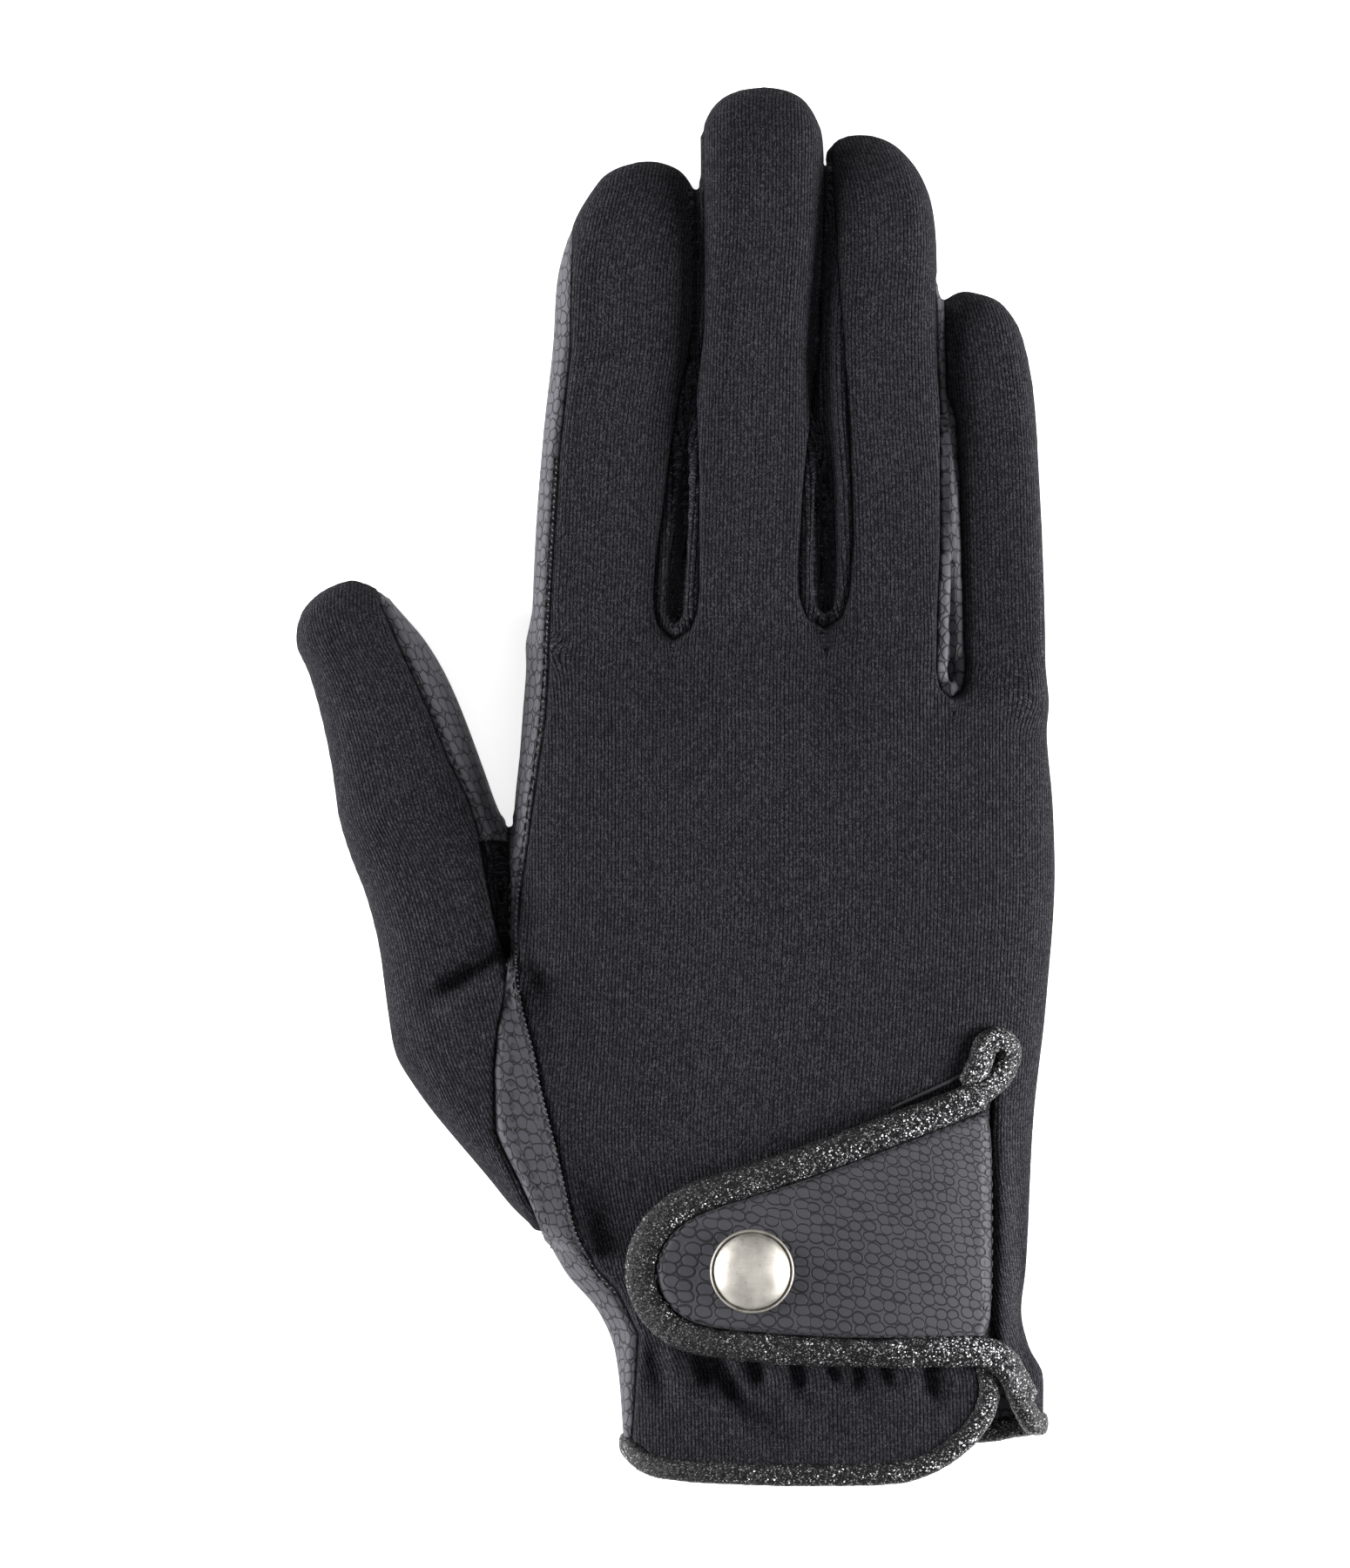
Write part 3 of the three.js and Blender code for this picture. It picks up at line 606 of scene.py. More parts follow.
def arc_table(power):
    """Arc from the top of a section, over its half width, by its tallness and by the turn round it."""
    ratios = np.linspace(*FLATTEST_TALLEST, 30)
    turns = np.linspace(0, math.pi / 2, 60)
    turn = np.linspace(0, math.pi / 2, 400)
    x, z = np.sin(turn) ** (2 / power), np.cos(turn) ** (2 / power)
    rows = []
    for ratio in ratios:
        arc = np.concatenate([[0], np.cumsum(np.hypot(np.diff(x), ratio * np.diff(z)))])
        rows.append(np.interp(turns, turn, arc))
    return np.array(rows)


def round_arc(name, x, y, z):
    """How far round from the top middle of its section each point lies, and half the way round."""
    (left, right, bottom, top), _ = sections(name, y)
    half_wide, half_high = (right - left) / 2, (top - bottom) / 2
    u = (x - (left + right) / 2) / half_wide
    w = (z - (bottom + top) / 2) / half_high
    power = squareness(name)
    by_width = np.arcsin(np.minimum(np.abs(u), 1) ** (power / 2))
    by_height = np.arccos(np.minimum(np.abs(w), 1) ** (power / 2))
    # On top the width tells the turn, on a side the height
    steep = smooth_step(by_width + by_height, 1.5, 2.5)
    turn = by_width + (by_height - by_width) * steep
    table = arc_table(power)
    flattest, tallest = FLATTEST_TALLEST
    tall = (half_high / half_wide - flattest) / (tallest - flattest)
    i = np.clip(tall, 0, 1) * (table.shape[0] - 1.001)
    j = np.clip(turn / (math.pi / 2), 0, 1) * (table.shape[1] - 1.001)
    arc = read_between(table, i, j)
    a = np.floor(i).astype(int)
    quarter = table[a, -1] * (1 - (i - a)) + table[a + 1, -1] * (i - a)
    arc = np.where(w < 0, 2 * quarter - arc, arc) * half_wide
    return np.sign(u) * arc, 2 * quarter * half_wide


def along_top(name, y):
    """Length along the top of the palm or a finger, so that stitches keep their size at the tips."""
    span = np.linspace(-10, 226, 1500)
    (_, _, _, top), end = sections(name, span)
    rise = np.abs(np.diff(np.where(span > end, top[span <= end][-1], top)))
    length = np.concatenate([[0], np.cumsum(np.hypot(np.diff(span), rise))])
    start = LENGTH * (0.9 if name == "palm" else FINGER_ROWS[name][0])
    return np.interp(y, span, length) - np.interp(start, span, length) + start


def cloth_lines(points, from_below=False, thumb=False):
    """Where each point lies on the flat cloth: across it, and along the fingers."""
    x, y, z = points[:, 0], points[:, 1], points[:, 6]

    def lines(name, straight, level):
        arc, half_round = round_arc(name, x, level, z)
        if from_below:
            arc = np.where(arc >= 0, half_round - arc, -half_round - arc)
        return np.stack([straight + arc, along_top(name, y)], 1)

    if thumb:
        return lines("thumb", 0.0, y)
    uv = lines("palm", 0.0, y)
    if not from_below:  # beside the thumb the palm's own section says too little
        start = np.full(len(x), WEB_SIDE)
        arc, _ = round_arc("palm", start, y, top.read(top.height, start, y))
        real = arc + top.read(top.across, x, y) - top.read(top.across, start, y)
        share = smooth_step(-x, -WEB_SIDE, 4 - WEB_SIDE) * smooth_step(y, 22, 34)
        share *= 1 - smooth_step(y, 100, 118)
        uv[:, 0] += (real - uv[:, 0]) * share
    nearest = np.full(len(x), 1e9)
    finger_uv, blend = uv.copy(), np.zeros(len(x))
    for name in FINGERS:
        root = FINGER_ROWS[name][0] * LENGTH
        (left, right, _, _), _ = sections(name, np.maximum(y, root))
        away = np.abs(x - (left + right) / 2) / (right - left)
        closer = away < nearest
        nearest = np.where(closer, away, nearest)
        at_root, _ = sections(name, np.array([root]))
        one = lines(name, float(at_root[0, 0] + at_root[1, 0]) / 2, np.maximum(y, root))
        finger_uv = np.where(closer[:, None], one, finger_uv)
        blend = np.where(closer, smooth_step(y, root - 6, root + 8), blend)
    return uv * (1 - blend[:, None]) + finger_uv * blend[:, None]


# Shader nodes ------------------------------------------------------------------------------------


class Wire:
    """A number that varies over a surface, as a node's output. Operators add Math nodes."""

    def __init__(self, finish, socket):
        self.finish, self.socket = finish, socket

    def math(self, operation, *others, clamp=False):
        values = dict(enumerate((self, *others)))
        made = self.finish.node(
            "ShaderNodeMath", {"operation": operation, "use_clamp": clamp}, values
        )
        return Wire(self.finish, made.outputs[0])

    def __add__(self, other):
        return self.math("ADD", other)

    __radd__ = __add__

    def __mul__(self, other):
        return self.math("MULTIPLY", other)

    __rmul__ = __mul__

    def __sub__(self, other):
        return self.math("SUBTRACT", other)

    def __rsub__(self, other):
        return (self * -1) + other

    def __truediv__(self, other):
        return self.math("DIVIDE", other)

    def __pow__(self, other):
        return self.math("POWER", other)

    def clamped(self):
        return self.math("ADD", 0.0, clamp=True)

    def lower_of(self, other):
        return self.math("MINIMUM", other)

    def higher_of(self, other):
        return self.math("MAXIMUM", other)

    def hump(self):
        """0 at whole numbers and 1 half way between them."""
        part = self.math("FRACT")
        return part * (1 - part) * 4


def plug(tree, node, key, value):
    """Gives an input of a node its value or its link."""
    if isinstance(value, Wire):
        value = value.socket
    if isinstance(value, bpy.types.NodeSocket):
        tree.links.new(value, node.inputs[key])
    else:
        node.inputs[key].default_value = value


def add_node(tree, kind, settings=None, inputs=None):
    """A node with its settings, which come first, and its inputs."""
    made = tree.nodes.new(kind)
    for key, value in (settings or {}).items():
        setattr(made, key, value)
    for key, value in (inputs or {}).items():
        plug(tree, made, key, value)
    return made


class Finish:
    """A material and the one way in which its nodes are made."""

    def __init__(self, name):
        self.material = bpy.data.materials.new(name)
        self.material.use_nodes = True
        self.tree = self.material.node_tree
        self.shader = self.tree.nodes["Principled BSDF"]

    def node(self, kind, settings=None, inputs=None):
        return add_node(self.tree, kind, settings, inputs)

    def wire(self, node, output=0):
        return Wire(self, node.outputs[output])

    def cloth_place(self):
        """Millimetres across and along the flat cloth."""
        uv = self.node("ShaderNodeUVMap", {"uv_map": "cloth"})
        parts = self.node("ShaderNodeSeparateXYZ", None, {0: uv.outputs[0]})
        return self.wire(parts, 0), self.wire(parts, 1), uv.outputs[0]

    def vector_math(self, operation, *vectors, output=0):
        values = dict(enumerate(vectors))
        made = self.node("ShaderNodeVectorMath", {"operation": operation}, values)
        return made.outputs[output]

    def object_place(self, per_metre):
        place = self.node("ShaderNodeTexCoord").outputs["Object"]
        return self.vector_math("MULTIPLY", place, (per_metre,) * 3)

    def vector(self, x, y, z=0.0):
        return self.node("ShaderNodeCombineXYZ", None, {0: x, 1: y, 2: z}).outputs[0]

    def noise(self, place, scale, detail=2.0, dimensions="3D"):
        made = self.node(
            "ShaderNodeTexNoise",
            {"noise_dimensions": dimensions},
            {"Vector": place, "Scale": scale, "Detail": detail},
        )
        return self.wire(made, 0)

    def speckle(self, place):
        return self.wire(self.node("ShaderNodeTexWhiteNoise", None, {"Vector": place}), "Value")

    def attribute(self, name):
        made = self.node("ShaderNodeAttribute", {"attribute_name": name})
        return self.wire(made, "Fac")

    def blend(self, share, first, second):
        """A colour between two, each four numbers or a colour output."""
        made = self.node(
            "ShaderNodeMix", {"data_type": "RGBA"}, {0: share, 6: first, 7: second}
        )
        return made.outputs[2]

    def bump(self, height, millimetres=1.0):
        inputs = {"Height": height, "Strength": 1.0, "Distance": millimetres / 1000}
        return self.node("ShaderNodeBump", None, inputs).outputs[0]

    def seam_groove_and_shade(self, width):
        """1 on a piece's seam, fading to 0 at that many millimetres from it. It sinks the seam and
        darkens it as painted shade.
        """
        near = (1 - self.attribute("seam") / width).clamped()
        return near * near

    def done(self, **inputs):
        for key, value in inputs.items():
            plug(self.tree, self.shader, key.replace("_", " "), value)
        return self.material


def grey(level, blue=1.1):
    """A nearly grey colour of that brightness."""
    return (level, level * 0.985, level * blue, 1.0)


def knit_finish(name, dark=0.0004, light=0.044, wale=0.6, course=0.48):
    """Fine softshell knit: V stitches with painted shade between them and a few painted filament glints.
    """
    f = Finish(name)
    across, along, place = f.cloth_place()
    wander = f.noise(place, 0.10, 2.0, "2D")
    columns = across / wale + wander * 0.25
    side = (columns.math("FRACT") - 0.5).math("ABSOLUTE") * 2
    rows = along / course + side * 0.85 + wander * 0.25
    # The stitches' relief; in the colour it also stands for the shade between the stitches
    stitch = (rows.hump() * 0.65 + 0.35) * (side * (1 - side) * 0.9 + 0.85) * (1 - side * side)
    filament = f.vector((columns * 4).math("FLOOR"), (rows * 2).math("FLOOR"))
    chance = f.speckle(filament)
    own = f.speckle(f.vector(columns.math("FLOOR"), rows.math("FLOOR")))  # each stitch's own tone
    painted_glint = chance**9  # a few filaments painted as glints of light
    shade = f.noise(place, 0.035, 3.0, "2D") * 0.24 + 0.88
    # Colour: painted shade between stitches and painted filament glints, with each stitch's own tone and
    # a slow random tone
    tone = stitch * (chance * 0.5 + 0.3 + painted_glint * 3.6) * shade * (own * 0.5 + 0.72)
    seam = f.seam_groove_and_shade(0.6)
    # Painted shade darkens the colour along the seam's groove
    colour = f.blend((tone * (1 - seam * 0.9)).clamped(), grey(dark), grey(light, 1.17))
    height = stitch * 0.2 + wander * 0.05 - seam * 0.4
    return f.done(
        Base_Color=colour, Roughness=(0.95 - painted_glint * 0.4), Normal=f.bump(height),
        Sheen_Weight=0.025, Sheen_Roughness=0.4, Specular_IOR_Level=0.05,
        Sheen_Tint=(0.75, 0.78, 0.85, 1.0),
    )


def leather_finish(name, cell, tone, longer=1.0, reach=0.415, seam_width=0.5):
    """Pebble-embossed leather: rounded cells in thin grooves darkened as painted shade, small ones in the
    corners.
    """
    f = Finish(name)
    _, _, place = f.cloth_place()
    wander = f.node("ShaderNodeTexNoise", None, {"Vector": place, "Scale": 0.25, "Detail": 1.0})
    shifted = f.vector_math("MULTIPLY_ADD", wander.outputs["Color"], (0.8, 0.8, 0.0), place)
    shaped = f.node("ShaderNodeMapping", None, {"Vector": shifted, "Scale": (1.0, 1 / longer, 1.0)})
    settings = {"voronoi_dimensions": "2D", "feature": "F1"}
    inputs = {"Vector": shaped.outputs[0], "Scale": 1 / cell, "Randomness": 0.46}
    cells = f.node("ShaderNodeTexVoronoi", settings, inputs)
    edges = f.node("ShaderNodeTexVoronoi", dict(settings, feature="DISTANCE_TO_EDGE"), inputs)
    away = f.wire(cells, "Distance")
    own = f.wire(f.node("ShaderNodeSeparateColor", None, {0: cells.outputs["Color"]}), 0)
    pebble = ((f.wire(edges, "Distance") - 0.03) * 1.6).lower_of(reach + own * 0.07 - away)
    filler = (away - reach - 0.115) * 1.1
    raised = (pebble.higher_of(filler) / 0.045).clamped()
    raised = raised * raised * (3 - raised * 2)
    grain = f.noise(place, 3.5, 4.0, "2D")
    wear = f.noise(place, 0.06, 3.0, "2D")
    seam = f.seam_groove_and_shade(seam_width)
    # Grain, wear and each cell's own tone, with painted shade in the grooves between pebbles and in the
    # seam
    tone_and_painted_light = (raised * 0.7 + 0.3) * (0.62 + own * 0.10 + grain * 0.34 + wear * 0.2) * (1 - seam * 0.8)
    colour = f.blend(tone_and_painted_light.clamped(), grey(tone * 0.05), grey(tone * 1.3, 1.15))
    height = raised * 0.11 + grain * 0.03 - seam * 0.4
    return f.done(
        Base_Color=colour, Roughness=(0.66 - raised * 0.10 + grain * 0.1), Normal=f.bump(height),
        Specular_IOR_Level=0.2,
    )


def glitter_finish(flake_size=0.2):
    """Binding tape of dark foil cloth, full of small flakes that each face their own way; a few are
    painted bright as glints.
    """
    f = Finish("glitter_binding")
    place = f.object_place(1000 / flake_size)
    flakes = f.node(
        "ShaderNodeTexVoronoi", None, {"Vector": place, "Scale": 1.0, "Randomness": 1.0}
    )
    parts = f.node("ShaderNodeSeparateColor", None, {0: flakes.outputs["Color"]})
    chance, second = f.wire(parts, 0), f.wire(parts, 1)
    flake = (1.1 - f.wire(flakes, "Distance") * 1.2).clamped()
    shade = f.noise(f.object_place(260), 1.0, 2.0)
    # A few flakes painted bright as glints, in clumps
    painted_flake_glint = chance**9 * flake * (0.6 + shade * 0.8)
    tone_and_painted_light = (painted_flake_glint * 0.85 + second * 0.01 * shade).clamped()
    colour = f.blend(tone_and_painted_light, grey(0.003), grey(0.8, 1.02))
    lean = 0.45  # how far a flake leans away from the tape's face
    tilt = f.vector_math(
        "MULTIPLY_ADD", flakes.outputs["Color"], (2 * lean,) * 3, (-lean,) * 3
    )
    facing = f.node("ShaderNodeNewGeometry").outputs["Normal"]
    normal = f.vector_math("NORMALIZE", f.vector_math("ADD", facing, tilt))
    return f.done(
        Base_Color=colour, Metallic=(chance * 0.5), Roughness=(0.62 - chance * 0.25),
        Normal=normal, Specular_IOR_Level=0.2,
    )


def nickel_finish():
    """Antique nickel: brushed, a little stained, darker where the dome turns down to its rim; painted
    shade on the rim.
    """
    f = Finish("antique_nickel")
    cap_x, cap_y = (CAP_PLACE[0] + ORIGIN[0]) / 1000, (CAP_PLACE[1] + ORIGIN[1]) / 1000
    place = f.node("ShaderNodeTexCoord").outputs["Object"]
    flat = f.node(
        "ShaderNodeMapping", None,
        {"Vector": place, "Location": (-cap_x, -cap_y, 0.0), "Scale": (1.0, 1.0, 0.0)},
    ).outputs[0]
    radius = Wire(f, f.vector_math("LENGTH", flat, output="Value")) * 1000
    streaked = f.node(
        "ShaderNodeMapping", None,
        {"Vector": place, "Rotation": (0.0, 0.0, 0.9), "Scale": (420.0, 4200.0, 420.0)},
    ).outputs[0]
    brush = f.noise(streaked, 1.0, 3.0)
    stain = f.noise(f.object_place(330), 1.0, 4.0)
    spots = (f.noise(f.object_place(2100), 1.0, 1.0) * 7 - 4.6).clamped()
    groove = (1 - (radius - CAP_GROOVE).math("ABSOLUTE") / 0.3).clamped()
    # Painted shade on the rolled rim, which darkens its bright reflected ring
    rim = ((radius - CAP_GROOVE) * 4).clamped()
    wear_and_painted_shade = (0.30 + stain * 0.75 + brush * 0.12 - spots * 0.3 - groove * 0.8 - rim * 0.25).clamped()
    colour = f.blend(wear_and_painted_shade, (0.05, 0.045, 0.035, 1.0), (0.70, 0.665, 0.61, 1.0))
    height = brush * 0.014 + stain * 0.02
    return f.done(
        Base_Color=colour, Metallic=1.0, Roughness=(0.42 + stain * 0.2 + groove * 0.3 + rim * 0.15),
        Normal=f.bump(height),
    )


def thread_finish(name, level):
    f = Finish(name)
    twist = f.noise(f.object_place(2600), 1.0, 2.0)
    colour = f.blend(twist, grey(level * 0.5), grey(level * 1.5))
    return f.done(Base_Color=colour, Roughness=0.8, Normal=f.bump(twist, 0.1))


# The cloth of the hand ---------------------------------------------------------------------------


def hand_surface(cells):
    """The hand's whole outer surface, with its swells, creases and flat underside."""
    grid = openvdb.FloatGrid(3.0 * CELL)
    grid.copyFromArray(np.clip(cells, -3 * CELL, 3 * CELL))
    points, quads = grid.convertToQuads(isovalue=0.0)
    points = points.astype(float) * CELL + LOW
    quads = quads.astype(int)
    faces = np.concatenate([quads[:, [0, 1, 2]], quads[:, [0, 2, 3]]])
    points = relaxed(points, faces, 2)
    normals = normals_of(points, faces)
    unpressed = points[:, 2].copy()
    on_top = smooth_step(normals[:, 2], 0.05, 0.5) * smooth_step(points[:, 2], 6, 10)
    points[:, 2] += swell_height(points[:, 0], points[:, 1]) * on_top
    points = relaxed(points, faces, 2)
    z = points[:, 2]
    pressed = 0.12 + 0.88 * np.maximum(z, 0) ** 1.3  # what lies on the table is flat
    points[:, 2] = np.where(z < 0.9, pressed, z)
    normals = normals_of(points, faces)
    return np.hstack([points, normals, unpressed[:, None]]), faces


def hem_depth(points):
    """How far each point lies inside what the hem and the wrist slit leave open."""
    x, y, z = points[:, 0], points[:, 1], points[:, 2]
    up = smooth_step(z, 4, 11)
    return depth_in(HEM_UNDERNEATH, x, y) * (1 - up) + depth_in(HEM_ON_BACK, x, y) * up


def knit_depth(points):
    """How far each point lies inside the back's knit."""
    x, y, z = points[:, 0], points[:, 1], points[:, 2]
    index_side = smooth_step(-x, 27, 33) * smooth_step(-y, -200, -190)
    seam_height = SEAM_HEIGHT + (INDEX_SEAM_HEIGHT - SEAM_HEIGHT) * index_side
    return np.minimum(depth_in(KNIT_EDGE, x, y), z - seam_height)


def raised_depth(edge, points):
    """How far each point lies inside an outline and above the side seam."""
    return np.minimum(depth_in(edge, points[:, 0], points[:, 1]), points[:, 2] - SEAM_HEIGHT)


def panel(
    name, replaced, points, faces, uv, material, slot, thickness=WALL, lip=0.18, dip=0.55
):
    """One panel of the glove: its edge rolls into the seam, and it gets its thickness inwards."""
    away = seam_distance(points, faces)
    calm = 1 - 0.75 * smooth_step(points[:, 1], 172, 192)
    roll = lip * np.exp(-(((away - 1.3) / 0.7) ** 2)) - dip * np.exp(-((away / 0.75) ** 2))
    shaped = points.copy()
    shaped[:, :3] += points[:, 3:6] * (roll * calm)[:, None]
    shaped[:, 2] = np.maximum(shaped[:, 2], 0.1)
    obj = make_mesh(name, shaped, faces, {"seam": away}, uv)
    obj.data.materials.append(material)
    wall = obj.modifiers.new("wall", "SOLIDIFY")
    wall.thickness = thickness / 1000
    wall.offset = -1.0
    return settle(obj, None, [replaced])


def wrap_lines(points, seam):
    """Leather laid on from a seam: across is how far it has come from there, along follows the hand."""
    level = np.array([1.0, 5.0, 1.0])  # looks for the seam straight across the hand
    tree = tree_of(seam * level)
    near = seam[[tree.find(p * level)[1] for p in points[:, :3]]]
    from_seam = np.hypot(near[:, 0] - points[:, 0], near[:, 2] - points[:, 2])
    under = smooth_step(-points[:, 5], 0.45, 0.9)
    across = from_seam * (1 - under) + (points[:, 0] + 60) * under
    return np.stack([across, points[:, 1]], 1)


def closed_tube(rings, start, end):
    """Rings of points as one closed skin that faces outwards, with a point at each end."""
    count, sides = rings.shape[:2]
    points = np.vstack([rings.reshape(-1, 3), start, end])
    i, j = np.meshgrid(np.arange(count - 1), np.arange(sides), indexing="ij")
    a, b = (i * sides + j).ravel(), (i * sides + (j + 1) % sides).ravel()
    k = np.arange(sides)
    follow, base = (k + 1) % sides, (count - 1) * sides
    first, last = np.full(sides, count * sides), np.full(sides, count * sides + 1)
    faces = np.concatenate([
        np.stack([a, a + sides, b], 1), np.stack([b, a + sides, b + sides], 1),
        np.stack([first, k, follow], 1), np.stack([last, base + follow, base + k], 1),
    ])
    corners = points[faces]
    volume = np.einsum("ij,ij->i", corners[:, 0], np.cross(corners[:, 1], corners[:, 2])).sum()
    return points, faces[:, ::-1] if volume < 0 else faces


def flat_tape(path, normals, width, height, pucker=0.05, sides=16):
    """A soft tape that follows a path: rounded across, a little puckered, closed at its ends."""
    ahead = np.gradient(path, axis=0)
    ahead /= np.linalg.norm(ahead, axis=1, keepdims=True)
    across = np.cross(ahead, normals)
    across /= np.linalg.norm(across, axis=1, keepdims=True)
    up = np.cross(across, ahead)
    turn = np.linspace(0, 2 * math.pi, sides, endpoint=False)
    profile = np.stack([np.cos(turn), np.sin(turn)], 1)
    profile = np.sign(profile) * np.abs(profile) ** (2 / 2.6)
    reach = np.concatenate([[0], np.cumsum(np.linalg.norm(np.diff(path, axis=0), axis=1))])
    ends = np.minimum(reach, reach[-1] - reach)
    size = np.sqrt(np.clip(ends / 1.2, 0.02, 1.0))
    waves = np.sin(reach * 2.1) * np.sin(reach * 0.83 + 1.3) + 0.6 * np.sin(reach * 3.7 + 0.4)
    high = height / 2 * (1 + pucker * waves) * size
    wide = width / 2 * (1 + 0.4 * pucker * np.roll(waves, 3)) * size
    rings = (
        path[:, None]
        + across[:, None] * (profile[:, 0][None, :, None] * wide[:, None, None])
        + up[:, None] * (profile[:, 1][None, :, None] * high[:, None, None])
    )
    return closed_tube(rings, path[:1], path[-1:])


def lay_tape(name, line, level, width, height, material, nodes):
    """A tape along a line on the back, at its level over the table."""
    path = np.hstack([line, level[:, None]])
    tape = flat_tape(path, top.normal_at(*line.T), width, height)
    settle(make_mesh(name, *tape), material, nodes)


# Stitches ----------------------------------------------------------------------------------------


def on_skin(outline, step=0.7):
    """A path seen from above, laid on the hand's surface: points and normals."""
    path = even_path(outline, step)
    found = [skin.ray_cast(Vector((x, y, 60)), Vector((0, 0, -1))) for x, y in path]
    return np.array([[*hit, *normal] for hit, normal, _, _ in found if hit is not None])


def beside(row, offset, snap=True):
    """The same path, moved across itself by an offset, still on the surface."""
    ahead = np.gradient(row[:, :3], axis=0)
    ahead /= np.linalg.norm(ahead, axis=1, keepdims=True)
    moved = row[:, :3] + np.cross(row[:, 3:6], ahead) * offset
    if not snap:
        return np.hstack([moved, row[:, 3:6]])
    found = [skin.find_nearest(Vector(p)) for p in moved]
    return np.array([[*place, *normal] for place, normal, _, _ in found])


def stitch_tree():
    """Nodes that lay one thread per stitch along a path, upright by the path's own attribute."""
    tree = bpy.data.node_groups.new("stitches", "GeometryNodeTree")
    inputs = {}
    for label, kind in (
        ("Path", "NodeSocketGeometry"), ("Stitch length", "NodeSocketFloat"),
        ("Gap", "NodeSocketFloat"), ("Thread width", "NodeSocketFloat"),
        ("Slant", "NodeSocketFloat"), ("Thread", "NodeSocketMaterial"),
    ):
        socket = tree.interface.new_socket(label, in_out="INPUT", socket_type=kind)
        inputs[label] = socket.identifier
    tree.interface.new_socket("Stitches", in_out="OUTPUT", socket_type="NodeSocketGeometry")

    def node(*parts):
        return add_node(tree, *parts)

    given = node("NodeGroupInput").outputs
    lengths = {0: given["Stitch length"], 1: given["Gap"]}
    pitch = node("ShaderNodeMath", {"operation": "ADD"}, lengths)
    line = node("GeometryNodeMeshToCurve", None, {"Mesh": given["Path"]})
    even = node(
        "GeometryNodeResampleCurve", {"mode": "LENGTH"},
        {"Curve": line.outputs[0], "Length": pitch.outputs[0]},
    )
    up = node("GeometryNodeInputNamedAttribute", {"data_type": "FLOAT_VECTOR"}, {"Name": "up"})
    ahead = node(
        "FunctionNodeAlignRotationToVector", {"axis": "X"},
        {"Vector": node("GeometryNodeInputTangent").outputs[0]},
    )
    turned = node(
        "FunctionNodeAlignRotationToVector", {"axis": "Z", "pivot_axis": "X"},
        {"Rotation": ahead.outputs[0], "Vector": up.outputs["Attribute"]},
    )
    bead = node("GeometryNodeMeshUVSphere", None, {"Segments": 6, "Rings": 5, "Radius": 0.5})
    size = node(
        "ShaderNodeCombineXYZ", None,
        {0: given["Stitch length"], 1: given["Thread width"], 2: given["Thread width"]},
    )
    slant = node("ShaderNodeCombineXYZ", None, {2: given["Slant"]})
    shaped = node(
        "GeometryNodeTransform", None,
        {"Geometry": bead.outputs[0], "Scale": size.outputs[0], "Rotation": slant.outputs[0]},
    )
    placed = node(
        "GeometryNodeInstanceOnPoints", None,
        {"Points": even.outputs[0], "Instance": shaped.outputs[0], "Rotation": turned.outputs[0]},
    )
    real = node("GeometryNodeRealizeInstances", None, {"Geometry": placed.outputs[0]})
    smooth = node("GeometryNodeSetShadeSmooth", None, {"Geometry": real.outputs[0]})
    finished = node(
        "GeometryNodeSetMaterial", None,
        {"Geometry": smooth.outputs[0], "Material": given["Thread"]},
    )
    node("NodeGroupOutput", None, {0: finished.outputs[0]})
    return tree, inputs


STITCHES, STITCH_INPUTS = stitch_tree()


def stitch_row(name, row, length, gap, width, material, slant=0.0):
    """A row of stitches as a plain mesh."""
    mesh = bpy.data.meshes.new(name + "_path")
    count = len(row)
    mesh.from_pydata(to_frame(row).tolist(), [(i, i + 1) for i in range(count - 1)], [])
    ups = mesh.attributes.new("up", "FLOAT_VECTOR", "POINT")
    ups.data.foreach_set("vector", row[:, 3:6].ravel())
    path = bpy.data.objects.new(name + "_path", mesh)
    bpy.context.scene.collection.objects.link(path)
    made = path.modifiers.new("stitches", "NODES")
    made.node_group = STITCHES
    values = {
        "Stitch length": length / 1000, "Gap": gap / 1000, "Thread width": width / 1000,
        "Slant": slant, "Thread": material,
    }
    for label, value in values.items():
        made[STITCH_INPUTS[label]] = value
    bpy.context.view_layer.update()
    shown = path.evaluated_get(bpy.context.evaluated_depsgraph_get())
    plain = bpy.data.meshes.new_from_object(shown)
    path.modifiers.clear()
    bpy.data.objects.remove(path)
    plain.name = name
    obj = bpy.data.objects.new(name, plain)
    bpy.context.scene.collection.objects.link(obj)
    return settle(obj, material, [])


# The making --------------------------------------------------------------------------------------

cells = hand_cells()
top = Top(cells)
points, faces = hand_surface(cells)
del cells

knit = knit_finish("softshell_knit")
# A darker copy of the knit for the web: painted shade of the deep fold between thumb and palm
web_knit_painted_shade = knit_finish("web_knit_painted_shade", light=0.018)
leather = leather_finish("pebble_leather", cell=1.6, tone=0.0465, longer=1.35, reach=0.47)
STRAP_PEBBLE = 2.6
strap_leather = leather_finish("strap_leather", cell=STRAP_PEBBLE, tone=0.036)
glitter = glitter_finish()
nickel = nickel_finish()

_, (body, body_faces) = cut(points, faces, hem_depth(points))
skin = BVHTree.FromPolygons(body[:, :3].tolist(), body_faces.tolist())
rim = body[edge_loops(body_faces)[0]]

for name, edge in FOURCHETTES.items():
    (strip, strip_faces), (body, body_faces) = cut(
        body, body_faces, depth_in(edge, body[:, 0], body[:, 1])
    )
    of_leather = name == "fourchette_ring_little"
    flat_cloth = strip[:, :2] * [1.3, 1.0] if of_leather else cloth_lines(strip)
    panel(
        name.replace("fourchette", "fork"), name, strip, strip_faces, flat_cloth,
        leather if of_leather else knit, "leather" if of_leather else "knit", lip=0.75,
    )

